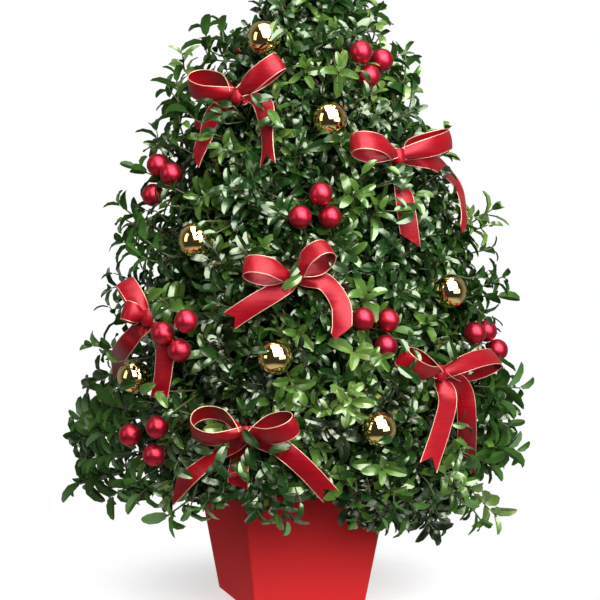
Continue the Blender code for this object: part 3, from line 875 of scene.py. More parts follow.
# %% Carry a band along a line
ACROSS = np.array((-1.0, -0.72, -0.4, 0.0, 0.4, 0.72, 1.0))
LINE_POINTS = 38
CUP_FLAT = 0.25          # half the arc of a flat band, in radians
CUP_MORE = 2.3           # and how much a full gather adds to it
SPOT_EVERY = 3
CUTS = {                 # the share of its length that a band reaches, v across it from -1 to 1
    "notch": lambda v: 1 - 0.08 * (1 - np.abs(v)),
    "slant": lambda v: 1 - 0.14 * (1 + v) / 2,
    "point": lambda v: 1 - 0.20 * np.abs(v - 0.5) / 1.5,
    "none": lambda v: 1 + 0 * v,
}
ribbon_pile, edge_pile = Pile(), Pile()
ribbon_spots = []


def smooth_line(points, count):
    """A Catmull-Rom line through a few points."""
    knots = [points[0] * 2 - points[1], *points, points[-1] * 2 - points[-2]]
    line = []
    for k in range(count):
        t = k / (count - 1) * (len(points) - 1)
        i = min(int(t), len(points) - 2)
        t -= i
        a, b, c, d = knots[i:i + 4]
        line.append((b * 2 + (c - a) * t + (a * 2 - b * 5 + c * 4 - d) * t ** 2
                     + (b * 3 - a - c * 3 + d) * t ** 3) / 2)
    return line


def band(line, normals, gathers, cut="none", hidden=0.0):
    """Adds a ribbon along a line. A gather of 1 is flat, less draws the band together.
    Leaves may lie over the hidden share at its start."""
    line, normals = np.array(line), np.array(normals)
    tangents = np.gradient(line, axis=0)
    tangents /= np.linalg.norm(tangents, axis=1, keepdims=True)
    sides = np.cross(tangents, normals)
    sides /= np.linalg.norm(sides, axis=1, keepdims=True)
    normals = np.cross(sides, tangents)
    cups = CUP_FLAT + CUP_MORE * (1 - np.asarray(gathers)) ** 1.2
    share = np.linspace(0, 1, len(line))
    grid = np.zeros((len(line), len(ACROSS), 3))
    for column, v in enumerate(ACROSS):
        side_shift = RIBBON_WIDTH / 2 * np.sin(cups * v) / cups
        lift = RIBBON_WIDTH / 2 * (1 - np.cos(cups * v)) / cups
        points = line + sides * side_shift[:, None] - normals * lift[:, None]
        ends_at = CUTS[cut](v)
        grid[:, column] = np.stack([np.interp(share * ends_at, share, points[:, k]) for k in range(3)], -1)
    ribbon_pile.add(*sheet(grid, RIBBON_THICKNESS))
    for column in (0, -1):
        edge_pile.add(*tube(grid[:, column], [EDGE_WIRE] * len(line), EDGE_SIDES))
    first = int(hidden * len(line))
    ribbon_spots.extend(line[first::SPOT_EVERY])


print("a band has", LINE_POINTS, "rows of", len(ACROSS), "points")

# %% [markdown]
# ## Loops, tails and knots
#
# A florist ties a loop to either side, wraps the middle with a short band, and cuts the tails to a point, a
# slant or a notch. One bow could be modelled well and copied, but then all would look stamped. So the parts
# share their rules, and each is placed by its own pixels. Some tails start under the leaves.

# %% Loops, tails and knots
LOOP_START = 0.012       # shares of the way round a loop
LOOP_SPAN = 0.976
LOOP_ROUND = 1.25
LOOP_GATHER = (0.25, 1.5)
TAIL_GATHER = (0.3, 3.2)
TAIL_UNDER_KNOT = 0.003
TAIL_SUNK = -0.016       # under the leaves, where the first stretch of a tail is hidden
TWIST_WAVE = (5.2, 0.4)
KNOT_POINTS = 16
KNOT_HALF = 0.0060
KNOT_DEPTH = 0.0026
KNOT_RAISED = 0.0006
KNOT_GATHER = 0.44
Z_UP = Vector((0, 0, 1))


def add_loop(knot, loop, out, place):
    """A teardrop of ribbon from the knot to a far end and back."""
    end = at_pixel(loop.end, loop.lift, place)
    ahead = end - knot
    length = ahead.length
    ahead.normalize()
    over = out.cross(ahead).normalized()
    if over.z < 0:
        over = -over
    tilt = math.radians(loop.tilt)
    wide = (over * math.cos(tilt) + out * math.sin(tilt)).normalized()
    wide = (wide - ahead * wide.dot(ahead)).normalized()
    deep = wide.cross(ahead)
    line, normals, gathers = [], [], []
    for k in range(LINE_POINTS):
        a = 2 * math.pi * (LOOP_START + LOOP_SPAN * k / (LINE_POINTS - 1))
        along = length * (1 - math.cos(a)) / 2
        away = loop.puff * LOOP_ROUND * math.sin(a) * abs(math.sin(a / 2)) ** 0.7
        line.append(knot + ahead * along + deep * away)
        gathers.append(min(1.0, LOOP_GATHER[0] + LOOP_GATHER[1] * along / length))
    for a, b in zip([line[0], *line], [*line[1:], line[-1]]):
        normals.append(wide.cross(b - a).normalized())
    band(line, normals, gathers)


def add_tail(tail, place):
    """A strip that lies over the foliage from the knot to its cut end."""
    last = len(tail.pixels) - 1
    lifts = [TAIL_LIFT + tail.rise * (n / last) ** 2 for n in range(last + 1)]
    lifts[0] = KNOT_LIFT - TAIL_UNDER_KNOT
    if tail.hidden:
        lifts[1] = TAIL_SUNK
    spots = [at_pixel(pixel, lift, place) for pixel, lift in zip(tail.pixels, lifts)]
    line = smooth_line(spots, LINE_POINTS)
    normals, gathers = [], []
    for k, point in enumerate(line):
        share = k / (LINE_POINTS - 1)
        ahead = (line[min(k + 1, LINE_POINTS - 1)] - line[max(k - 1, 0)]).normalized()
        wave = math.sin(share * TWIST_WAVE[0] + TWIST_WAVE[1])
        turn = math.radians(tail.lean * min(1.0, 4 * share) + tail.twist * wave)
        normals.append(Matrix.Rotation(turn, 3, ahead) @ facing(point, place))
        gathers.append(min(1.0, TAIL_GATHER[0] + TAIL_GATHER[1] * share))
    band(line, normals, gathers, tail.cut, tail.hidden)


def add_knot(knot, out):
    """A short gathered band that wraps the middle, from top to bottom over the front."""
    up = out.cross(Z_UP.cross(out).normalized())
    line, normals = [], []
    for k in range(KNOT_POINTS):
        share = k / (KNOT_POINTS - 1)
        a = math.pi * (0.02 + 0.96 * share)
        line.append(knot + up * KNOT_HALF * math.cos(a) + out * (KNOT_DEPTH * math.sin(a) + KNOT_RAISED))
        normals.append(up * math.cos(math.pi * share) + out * math.sin(math.pi * share))
    band(line, normals, [KNOT_GATHER] * KNOT_POINTS)


def bow_pixels(bow):
    """Every pixel that places a part of a bow."""
    ends = [loop.end for loop in bow.loops]
    return [bow.knot, *ends, *(pixel for tail in bow.tails for pixel in tail.pixels)]


for place in (FRONT, BACK):
    for bow in BOWS.values():
        near = drawn_in(bow_pixels(bow), place)
        knot = at_pixel(bow.knot, KNOT_LIFT, near)
        out = facing(knot, near)
        for loop in bow.loops:
            add_loop(knot, loop, out, near)
        for tail in bow.tails:
            add_tail(tail, near)
        add_knot(knot, out)
print(len(ribbon_spots), "spots along the ribbons are to be kept clear of leaves")

# %% [markdown]
# ## Satin and its wired edge
#
# Satin's long floating threads throw the light back in a broad red gleam, not in a white one. Sheen would
# be the cloth maker's choice, but it turned the ribbon milky, so a tinted gloss does it. Slack threads
# make faint level streaks, which are noise stretched across: a faint relief, and darker streaks in the
# colour that paint the satin's shifting sheen. The wire is wrapped in pale thread.

# %% Finish the ribbon
STREAKS = (0.12, 0.12, 1)
satin = finish("red_satin_ribbon", linear(124, 6, 18), 0.32,
               Specular_IOR_Level=0.9, Specular_Tint=linear(255, 124, 134))
# painted sheen: darker level streaks in the colour stand in for the satin's shifting gleam
mottled(satin, linear(112, 5, 15), 420, 0.38, 0.62, 2, STREAKS)
relief(satin, 420, 0.0002, 2, STREAKS)
relief(satin, 2600, 0.00008, 1)
edge_thread = finish("pale_gold_edge", linear(222, 176, 150), 0.38, Metallic=0.5)
mottled(edge_thread, linear(206, 156, 130), 1400)
keep(ribbon_pile.piece("ribbon_bows", satin, sharp=60), "ribbon")
keep(edge_pile.piece("ribbon_edges", edge_thread), "ribbon")

# %% [markdown]
# ## Where twigs end
#
# Clipped foliage is dense because the plant branches behind every cut. We let the tips decide: points
# are thrown at the crown's skin and kept only if they are far enough from those already kept, which
# gives an even but unruly cover. A second, deeper layer closes the view into the crown.

# %% Scatter the tips
SKIRT_SHARE = 0.85
SKIRT_LOW = 0.064
SIDE_LIFT = 0.044
SKIRT_LIFT = 0.055
SKIRT_LIFT_TOP = 0.135
SKIRT_LIFT_MIDDLE = math.radians(-110)
SKIRT_LIFT_FROM = 0.56
SKIRT_LIFT_BLEND = 0.20
SHADED_SIDE = math.radians(160)
SHADED_LOSS = 0.022
SHADED_HEIGHTS = (0.10, 0.20, 0.32, 0.50)
SHADED_SHARES = (1.3, 1.2, 0.9, 0.9)
grow_rng = random.Random(1213)
outline_lengths = [math.dist(a, b) for a, b in zip(OUTLINE, OUTLINE[1:])]
outline_ends = np.concatenate([[0], np.cumsum(outline_lengths)])
OUTLINE_HEIGHTS, OUTLINE_RADII = zip(*OUTLINE)
Tip = namedtuple("Tip", "point kind")


def along_outline(share):
    """Height and radius at a share of the outline's length, from the skirt's inner edge to the tip."""
    place = share * outline_ends[-1]
    return tuple(float(np.interp(place, outline_ends, values)) for values in (OUTLINE_HEIGHTS, OUTLINE_RADII))


def skirt_lift(azimuth):
    """Before the pot and behind it the skirt is clipped higher, so that the pot's faces show."""
    near = math.cos(azimuth - SKIRT_LIFT_MIDDLE) ** 2
    share = max(0.0, min((near - SKIRT_LIFT_FROM) / SKIRT_LIFT_BLEND, 1.0))
    return SKIRT_LIFT * share * share * (3 - 2 * share)


def thin_side(azimuth):
    """1 in the middle of the side that the plant's neighbour shaded, 0 a quarter turn from there."""
    return max(0.0, math.cos(azimuth - SHADED_SIDE))


def too_low(height, azimuth):
    """The skirt's lower edge, which is higher on the thin side."""
    return height < SKIRT_LOW + SIDE_LIFT * thin_side(azimuth)


def shaded_loss(height, azimuth):
    """How far the foliage stands back from the crown's skin on the thin side."""
    return SHADED_LOSS * thin_side(azimuth) ** 2 * float(np.interp(height, SHADED_HEIGHTS, SHADED_SHARES))


def lifted(height, azimuth):
    """A height near the skirt, raised where the skirt is clipped higher."""
    low_share = min((SKIRT_LIFT_TOP - height) / (SKIRT_LIFT_TOP - OUTLINE[2][0]), 1.0)
    return height + skirt_lift(azimuth) * max(0.0, low_share)


def clear_of_pot(point, room):
    """Whether a point is above or beside the pot, with room to spare."""
    beside = max(abs(point[0]), abs(point[1])) > pot_half(min(point[2], POT_HEIGHT)) + room
    return beside or point[2] > POT_HEIGHT + room


print("the skirt is lifted by", round(skirt_lift(SKIRT_LIFT_MIDDLE), 3), "before the pot, and by",
      round(skirt_lift(0), 3), "beside it")

# %% [markdown]
# ## Clumps and hollows
#
# A clipped boxwood isn't an even fur: bundles of shoots stand forward, with dark hollows between them. A
# displaced surface could show such lumps, but its leaves would all stand alike. So a few points, far apart,
# mark the middles of the clumps, and an outer tip is sunk the more, the farther off the nearest one is.

# %% Throw points at the crown's skin
CLUMP_SPACING = 0.037
CLUMP_DEPTH = 0.016
CLUMP_SHARE = 0.6
OUTER_SPACING = 0.0122
INNER_SPACING = 0.0158
LOOSE_SPACING = 0.030
CLUMP_TRIES = 4000
OUTER_TRIES = 14000
INNER_TRIES = 9000
DEEPEST = 0.8            # share of the radius
HANG = 0.006             # tips hang this much lower above the pot, and stand higher beside it
SKIRT_STAND = 0.008
TIP_ROOM = 0.007


def scatter(kind, tries, spacing, shallow, deep, clumps=()):
    """Throws points at the crown's skin, keeps those that have room, and sinks those between clumps."""
    kept, spots = [], np.zeros((0, 3))
    for _ in range(tries):
        height, radius = along_outline(grow_rng.random() ** SKIRT_SHARE)
        azimuth = grow_rng.uniform(-math.pi, math.pi)
        depth = min(grow_rng.uniform(shallow, deep), DEEPEST * radius)
        skin_radius = radius * swelling(height, azimuth)
        drop = HANG if height > POT_HEIGHT else -SKIRT_STAND
        height = lifted(height, azimuth)
        if too_low(height, azimuth):
            continue
        depth = min(depth + shaded_loss(height, azimuth), DEEPEST * radius)
        if clumps:
            skin = on_crown(height, skin_radius, azimuth)
            away = min((skin - clump.point).length for clump in clumps) / (CLUMP_SPACING * CLUMP_SHARE)
            depth = min(depth + CLUMP_DEPTH * min(away, 1.1) ** 2, DEEPEST * radius)
        point = on_crown(height - drop, skin_radius - depth, azimuth)
        if not clear_of_pot(point, TIP_ROOM):
            continue
        if len(spots) and np.min(((spots - point) ** 2).sum(1)) < spacing ** 2:
            continue
        spots = np.vstack([spots, point])
        kept.append(Tip(point, kind))
    return kept


clump_tips = scatter("clump", CLUMP_TRIES, CLUMP_SPACING, 0.0, 0.004)
outer_tips = scatter("outer", OUTER_TRIES, OUTER_SPACING, 0.016, 0.027, clump_tips)
inner_tips = scatter("inner", INNER_TRIES, INNER_SPACING, 0.044, 0.072)
loose_tips = scatter("loose", CLUMP_TRIES, LOOSE_SPACING, 0.008, 0.018)
tip_counts = [len(tips) for tips in (clump_tips, outer_tips, inner_tips, loose_tips)]
print("clumps, outer, inner and loose tips:", tip_counts)

# %% [markdown]
# ## Shoots that break the outline
#
# A cone clipped weeks ago has grown again: single shoots stand out to the sides and hang over the pot.
# They decide the silhouette, so their tips are placed by pixel. The others are there to look even, and
# these are there to look grown.

# %% Leading shoots by pixel
Leader = namedtuple("Leader", "base tip fresh", defaults=(False,))
FRESH = True
LEADERS = [Leader(*row) for row in (
    ((212, 52), (203, 12), FRESH), ((228, 52), (219, 14)), ((214, 60), (198, 42)), ((184, 138), (175, 64)),
    ((196, 120), (164, 84)), ((160, 180), (128, 164)), ((168, 140), (152, 146)), ((170, 256), (132, 230)),
    ((160, 262), (124, 250)), ((126, 322), (100, 298)), ((124, 350), (80, 344)), ((124, 356), (98, 356)),
    ((138, 418), (76, 420)), ((132, 430), (84, 436)), ((136, 410), (98, 402)), ((136, 452), (84, 460)),
    ((150, 474), (104, 500)), ((154, 484), (128, 504)), ((196, 494), (156, 524), FRESH),
    ((214, 488), (200, 518), FRESH), ((172, 486), (166, 512), FRESH), ((402, 84), (406, 50), FRESH),
    ((404, 100), (420, 86)), ((436, 160), (446, 128)), ((430, 180), (452, 172)),
    ((462, 230), (494, 208), FRESH), ((462, 236), (490, 224), FRESH), ((468, 294), (504, 276)),
    ((464, 298), (506, 296)), ((462, 300), (488, 318)), ((474, 386), (522, 388)), ((470, 392), (508, 404)),
    ((466, 412), (508, 424), FRESH), ((466, 442), (518, 452)), ((462, 452), (494, 466)),
    ((464, 484), (496, 516), FRESH), ((456, 486), (482, 522)), ((440, 482), (462, 500)),
    ((424, 478), (436, 498)), ((386, 484), (414, 506), FRESH), ((382, 488), (404, 524), FRESH),
    ((350, 484), (362, 514)), ((278, 484), (276, 516)), ((372, 484), (346, 510)), ((262, 480), (258, 500)),
    ((270, 476), (256, 514)), ((284, 480), (287, 524)), ((294, 482), (302, 504)), ((252, 478), (244, 502)),
    ((212, 478), (208, 508)), ((226, 480), (222, 498)), ((200, 480), (188, 514)), ((236, 482), (240, 500)),
    ((340, 482), (334, 508)), ((356, 484), (353, 522)), ((368, 482), (382, 520)), ((394, 482), (394, 512)),
    ((178, 190), (162, 184)), ((172, 206), (150, 200)), ((160, 214), (134, 208)), ((150, 224), (116, 226)),
    ((186, 150), (160, 140)), ((466, 254), (494, 248)), ((328, 478), (322, 500)),
    ((354, 354), (358, 347), FRESH), ((350, 402), (345, 408), FRESH),
)]
print(len(LEADERS), "leading shoots to a side")

# %% [markdown]
# ## Twigs
#
# Each mass starts at its bough's tip. A stem runs on from the bough, main twigs leave it for points all
# over the mass, and every fine shoot leaves the nearest main twig that lies deeper than its own tip. So
# any leaf can be followed back to the trunk, as on the plant. Choosing the best of many tries for each
# main twig keeps them apart.

# %% Main twigs of each mass
TRIES = 24
TOP_TWIGS = 22
TOP_LOW = 0.418
TOP_STEM = 0.018
TOP_STEM_TIP = 0.0018
TOP_MARGIN = 0.02
TWIST = 3.2              # radians a metre
LEVEL_SLOPE = 0.30
MASS_STEM = 0.016
MASS_STEM_POINTS = 5
MASS_STEM_SIDES = 7
MAIN_POINTS = 9
MAIN_SIDES = 6
MAIN_RADII = (0.0016, 0.0009)
MAIN_DEPTHS = (0.040, 0.056)
MAIN_RISE = 0.004
MAIN_ROOM = 0.012
MAIN_BEND = 0.55
ARCH_OVER_POT = -0.010
ARCH_BESIDE_POT = 0.020


def mass_tip(low, high, middle, half):
    """A place for a main twig's end, inside the mass's sector and under the crown's skin."""
    while True:
        height, radius = along_outline(grow_rng.random() ** SKIRT_SHARE)
        level = height + LEVEL_SLOPE * radius
        if not low < level < high:
            continue
        azimuth = middle + TWIST * (level - (low + high) / 2) + half * grow_rng.uniform(-0.9, 0.9)
        height = lifted(height, azimuth) + MAIN_RISE
        depth = grow_rng.uniform(*MAIN_DEPTHS) + shaded_loss(height, azimuth)
        point = on_crown(height, max(radius - depth, 0.0), azimuth)
        if clear_of_pot(point, MAIN_ROOM) and not too_low(height, azimuth):
            return point


def main_twigs(heart, count, low, high, middle, half):
    """Curved paths from a mass's heart to its main twigs' ends, each end the best of many tries."""
    found = []
    for _ in range(count):
        tries = []
        for _ in range(TRIES):
            point = mass_tip(low, high, middle, half)
            tries.append((min(((point - other).length for other in found), default=1.0), point))
        found.append(max(tries, key=lambda entry: entry[0])[1])
    paths = []
    for tip in found:
        arch = ARCH_OVER_POT if tip.z > POT_HEIGHT else ARCH_BESIDE_POT
        paths.append(bent(heart, heart.lerp(tip, MAIN_BEND) + Z_UP * arch, tip, MAIN_POINTS - 1))
    return paths


twig_pile = Pile()
main_paths = []
for whorl in WHORLS:
    for i in range(whorl.count):
        bough = bough_path(whorl, i, 20)
        ahead = (bough[-1] - bough[-2]).normalized()
        heart = bough[-1] + ahead * MASS_STEM
        radius = BOUGH_SHARE * stem_radius(bough[0].z) * BOUGH_TAPER * 0.96
        mass_stem = bent(bough[-1], (bough[-1] + heart) / 2, heart, MASS_STEM_POINTS - 1)
        twig_pile.add(*tube(mass_stem, [radius] * MASS_STEM_POINTS, MASS_STEM_SIDES))
        middle = whorl.turn + 2 * math.pi * i / whorl.count
        main_paths += main_twigs(heart, whorl.twigs, whorl.low, whorl.high, middle, math.pi / whorl.count)
top_heart = axis_at(TOP_LOW + TOP_STEM)
top_stem = bent(stem_at(STEM_TOP), axis_at(TOP_LOW), top_heart, MASS_STEM_POINTS - 1)
twig_pile.add(*tube(top_stem, np.linspace(STEM_TIP, TOP_STEM_TIP, MASS_STEM_POINTS), MASS_STEM_SIDES))
main_paths += main_twigs(top_heart, TOP_TWIGS, TOP_LOW + TOP_MARGIN, CROWN_TOP + TOP_MARGIN, 0.0, math.pi)
for path in main_paths:
    twig_pile.add(*tube(path, np.linspace(*MAIN_RADII, len(path)), MAIN_SIDES))
print(len(main_paths), "main twigs")

# %% [markdown]
# ## Fine shoots
#
# Shoots turn to the light: up near the top, outward at the side, and over and down at the skirt. Hair
# could be combed that way, but hair starts on a surface, and a shoot starts on wood. So each is a curve
# that leaves a joint of a main twig and reaches its tip in the direction that suits its height.

# %% Fine shoots from the nearest main twig
SHOOT_POINTS = 5
SHOOT_LEAST = {"outer": 0.022, "inner": 0.012, "loose": 0.036}
SHOOT_INWARD = 0.006
SHOOT_BEND = 0.55
TIP_ZONE = 0.46          # above this a shoot may start anywhere
RISE_HEIGHTS = (0.06, 0.11, 0.17, 0.35, 0.50, 0.53)
RISES = (-0.55, -0.10, 0.35, 0.60, 1.30, 3.0)
WANDER = 0.4
CLUMP_SPREAD = 0.8
joints = [point for path in main_paths for point in path]
joint_tree = KDTree(len(joints))
for n, point in enumerate(joints):
    joint_tree.insert(point, n)
joint_tree.balance()
Shoot = namedtuple("Shoot", "path kind fresh", defaults=(False,))


def end_direction(tip, kind):
    """Shoots rise at the top of the crown, stand out from its side, and arch over and down at its skirt."""
    azimuth, _ = around(tip)
    out = Vector((math.cos(azimuth), math.sin(azimuth), 0))
    rise = float(np.interp(tip.z, RISE_HEIGHTS, RISES))
    wander = Vector([grow_rng.uniform(-WANDER, WANDER) for _ in "xyz"])
    clump = min(clump_tips, key=lambda other: (other.point - tip).length).point
    spread = (tip - clump) / CLUMP_SPACING * CLUMP_SPREAD if kind == "outer" else Vector()
    return (out + Vector((0, 0, rise)) + wander + spread).normalized()


def grow_shoot(tip):
    """A curve from a joint on the nearest deeper main twig to the tip."""
    _, own_radius = around(tip.point)
    for start, _, distance in joint_tree.find_n(tip.point, 40):
        deeper = around(start)[1] < own_radius - SHOOT_INWARD
        if distance > SHOOT_LEAST[tip.kind] and (deeper or tip.point.z > TIP_ZONE):
            break
    length = (tip.point - start).length
    middle = tip.point - end_direction(tip.point, tip.kind) * length * SHOOT_BEND
    return Shoot(bent(Vector(start), middle, tip.point, SHOOT_POINTS - 1), tip.kind)


print(len(joints), "joints on the main twigs, where shoots can start")

# %% Grow all the shoots
LEADER_POINTS = 9
LEADER_SUNK = 0.012
LEADER_OUT = 0.006
LEADER_CUT = 0.002       # how much shorter each is than its pixel says
LEADER_SHORT = 0.008     # and how much more on the thin side
LEADER_LEAST = 0.012
LEADER_INWARD = 0.004
SHOOT_ROOM = 0.003
LEADERS_BACK = BACK._replace(turn=math.radians(184))


def grow_leader(leader, place):
    """A twig from the nearest deep joint through a leader's base to its tip."""
    base, tip = at_pixel(leader.base, -LEADER_SUNK, place), at_pixel(leader.tip, LEADER_OUT, place)
    tip -= (tip - base).normalized() * (LEADER_CUT + LEADER_SHORT * thin_side(around(base)[0]))
    _, base_radius = around(base)
    for joint, _, distance in joint_tree.find_n(base, 60):
        if distance > LEADER_LEAST and around(joint)[1] < base_radius - LEADER_INWARD:
            break
    return Shoot(smooth_line([Vector(joint), base, tip], LEADER_POINTS), "leader", leader.fresh)


shoots = [grow_shoot(tip) for tip in outer_tips + inner_tips + loose_tips]
shoots += [grow_leader(leader, place) for leader in LEADERS for place in (FRONT, LEADERS_BACK)]
shoots = [shoot for shoot in shoots if clear_of_pot(shoot.path[-1], SHOOT_ROOM)]
print(len(shoots), "shoots")

# %% [markdown]
# ## Keeping the trimmings clear
#
# The florist lifted the ribbon and balls over the leaves, so nearly all of each shows. For every spot on
# a ribbon or ball we keep a small column outward of it free: a leaf that would stand in it isn't grown.
# A few are let through, because a leaf or two does lie over the ribbon.

# %% A test for clear space
OVER_PIXELS = (
    (222, 98), (238, 86), (262, 116), (252, 106), (206, 140), (396, 176), (404, 205), (352, 160),
    (296, 284), (400, 228), (150, 340), (118, 356), (160, 388), (250, 444), (232, 462), (466, 430),
    (468, 462), (300, 268), (426, 352), (408, 368), (284, 446), (424, 366), (246, 438), (404, 350),
)
OVER_ROOM = 0.0085
COLUMN_HEIGHT = 0.05
COLUMN_SHARE = 0.95      # of a ball's radius
COLUMN_HALF = 0.0072     # over a ribbon
COLUMN_FOOT = 0.0015
BALL_ROOM = 0.0008
HUNG = [[pixel] for pixel in GOLD_PIXELS.values()]
HUNG += list(RED_PIXELS.values())
HUNG += [bow_pixels(bow) for bow in BOWS.values()]


def place_near(pixel, place):
    """The place of the trimming that lies nearest to a pixel."""
    return drawn_in(min(HUNG, key=lambda pixels: min(math.dist(pixel, other) for other in pixels)), place)


over_spots = [at_pixel(pixel, KNOT_LIFT, place_near(pixel, place))
              for pixel in OVER_PIXELS for place in (FRONT, BACK)]
spot_centres = np.array([spot for spot in ribbon_spots
                         if min((Vector(spot) - over).length for over in over_spots) > OVER_ROOM])
spot_outs = np.array([facing(spot, FRONT if spot.dot(AHEAD) < 0 else BACK)
                      for spot in map(Vector, spot_centres)])
ball_centres, ball_radii, ball_outs = (
    np.array([getattr(ball, part) for ball in gold_balls + red_balls]) for part in Ball._fields)


def in_the_way(points, centres, outs, wide, behind):
    """Which points lie in the columns that stand outward of the centres."""
    hit = np.zeros(len(points), bool)
    for centre, out, width in zip(centres, outs, wide):
        away = points - centre
        height = away @ out
        aside = np.sqrt(np.maximum((away ** 2).sum(1) - height ** 2, 0))
        hit |= (aside < width) & (height > -behind) & (height < COLUMN_HEIGHT)
    return hit


def blocked(points):
    """Which points would hide a trimming, or stand inside one."""
    hit = in_the_way(points, ball_centres, ball_outs, ball_radii * COLUMN_SHARE, 0.0)
    for centre, radius in zip(ball_centres, ball_radii):
        hit |= ((points - centre) ** 2).sum(1) < (radius + BALL_ROOM) ** 2
    return hit | in_the_way(points, spot_centres, spot_outs, [COLUMN_HALF] * len(spot_centres), COLUMN_FOOT)


shoot_ends = np.array([[shoot.path[-1], shoot.path[-2]] for shoot in shoots]).reshape(-1, 3)
stopped = blocked(shoot_ends).reshape(-1, 2).any(1)
shoots = [shoot for shoot, stop in zip(shoots, stopped) if not stop]
print(int(stopped.sum()), "shoots stop short of a trimming;", len(shoots), "are left")

# %% [markdown]
# ## Leaves
#
# A boxwood leaf is leathery, 13 to 21 mm long, folded a little along its midrib and curled back. Leaves
# stand in opposite pairs, and each pair is turned a quarter from the last. One could scatter instances
# of one leaf with a particle system, but the finished mesh must hold every leaf, so they are worked out
# together as arrays: all bases, directions, faces and sizes, then all points at once.

# %% Hang leaves on the shoots
PAIR_STEP = 0.0053
LEAF_LONG = 0.0162
LEAF_WIDE = 0.41
LEAF_STAND = 0.0008      # how far from the shoot's middle a leaf starts
PAIRS_END = 0.004
LEANS = [math.radians(angle) for angle in (20, 34, 46, 55, 61, 65, 68, 70, 72, 72)]
SIZES = (0.66, 0.92, 1.03, 1.04, 1.0, 0.98, 0.95, 0.92, 0.9, 0.9)
PAIRS = {"outer": 8, "inner": 5, "loose": 7, "leader": 10}
MISSING = {"outer": 0.03, "inner": 0.0, "loose": 0.08, "leader": 0.16}
STEPS = {"outer": 1.0, "inner": 1.35, "loose": 1.2, "leader": 1.25}
GROWTH = {"outer": 1.0, "inner": 1.3, "loose": 1.08, "leader": 1.2}
CURLS = {"outer": (0.5, 1.5), "inner": (0.3, 1.0), "loose": (0.6, 1.7), "leader": (0.7, 1.9)}
FOLDS = (0.15, 0.7)
BOX_SHARE = 0.03
BOX_ROOM = 0.0085
LIMITS = np.array([[low - BOX_SHARE * (high - low) - BOX_ROOM, high + BOX_SHARE * (high - low) + BOX_ROOM]
                   for low, high in zip(*CAD_BOX)]).T
# olive's light green is partly a painted highlight for leaves facing the window; inner shoots all take deep,
# painted shade
TONES = {"deep": 0.20, "mid": 0.38, "cool": 0.16, "olive": 0.23, "fresh": 0.015}
FRESH_PIXELS = ((470, 505), (500, 205), (180, 500), (375, 85), (330, 420))
FRESH_REACH = 0.010
LIGHT_OUT = 0.35
LIGHT_UP = 0.45
fresh_spots = [at_pixel(pixel, -0.01) for pixel in FRESH_PIXELS]
leaf_rng = random.Random(77)
Leaf = namedtuple("Leaf", "base ahead face long wide curl fold free")
leaves = {tone: [] for tone in TONES}


def tone_of(shoot):
    """New growth sits at chosen spots. Inner shoots all take the deep tone, which is painted shade for the
    crown's dark inside. The rest is dealt out by shoot.
    """
    if shoot.fresh or any((shoot.path[-1] - spot).length < FRESH_REACH for spot in fresh_spots):
        return "fresh"
    # painted shade: the inner layer's leaves all get the darkest colour, for the crown's dark inside
    if shoot.kind == "inner":
        return "deep"
    return leaf_rng.choices(list(TONES), list(TONES.values()))[0]


def hang_leaves(shoot):
    """Opposite pairs from the shoot's tip inwards, each turned a quarter from the last."""
    path = shoot.path
    tangents, sides, others = across_path(path)
    lengths = [(b - a).length for a, b in zip(path, path[1:])]
    ends = np.concatenate([[0], np.cumsum(lengths)])
    azimuth, _ = around(path[-1])
    light = Vector((math.cos(azimuth) * LIGHT_OUT, math.sin(azimuth) * LIGHT_OUT, LIGHT_UP))
    turn = leaf_rng.uniform(0, math.pi)
    tone = tone_of(shoot)
    size = LEAF_LONG * leaf_rng.uniform(0.84, 1.18) * GROWTH[shoot.kind]
    for pair in range(PAIRS[shoot.kind]):
        place = ends[-1] - pair * PAIR_STEP * STEPS[shoot.kind] * leaf_rng.uniform(0.92, 1.08)
        if place < PAIRS_END:
            break
        base, ahead, side, other = (
            Vector([float(np.interp(place, ends, rows[:, k])) for k in range(3)])
            for rows in (np.array(path), tangents, sides, others))
        for half_turn in (0, math.pi):
            if leaf_rng.random() < MISSING[shoot.kind]:
                continue
            angle = turn + pair * math.pi / 2 + half_turn + leaf_rng.uniform(-0.3, 0.3)
            out = (side * math.cos(angle) + other * math.sin(angle)).normalized()
            lean = LEANS[pair] + leaf_rng.uniform(-0.2, 0.22)
            way = (ahead * math.cos(lean) + out * math.sin(lean)).normalized()
            face = ahead * math.sin(lean) - out * math.cos(lean) + light
            face = (face - way * face.dot(way)).normalized()
            long = size * SIZES[pair] * leaf_rng.uniform(0.88, 1.1)
            wide = long * LEAF_WIDE * leaf_rng.uniform(0.88, 1.12)
            curl = leaf_rng.uniform(*CURLS[shoot.kind])
            leaves[tone].append(Leaf(base + out * LEAF_STAND, way, face, long, wide, curl,
                                     leaf_rng.uniform(*FOLDS), shoot.kind == "leader"))


for shoot in shoots:
    hang_leaves(shoot)
print({tone: len(found) for tone, found in leaves.items()}, sum(map(len, leaves.values())), "leaves")

# %% [markdown]
# ## The shape of a leaf
#
# A leaf is blunt at both ends, widest a little nearer its base, and thickest along its midrib. A picture of
# a leaf on a flat card is the usual cheap way, but a card vanishes when it is seen from the side. So a leaf
# has four rows of three points between its base and its tip, and an underside that shares its margin.

# %% All leaf points at once
LEAF_ROWS = (0.11, 0.38, 0.69, 0.91)     # shares of the leaf's length
LEAF_THICKNESS = 0.00030
WIDEST = 0.94            # below 1 the leaf is widest nearer its base
BLUNT = 0.56             # below 1 its ends are rounder


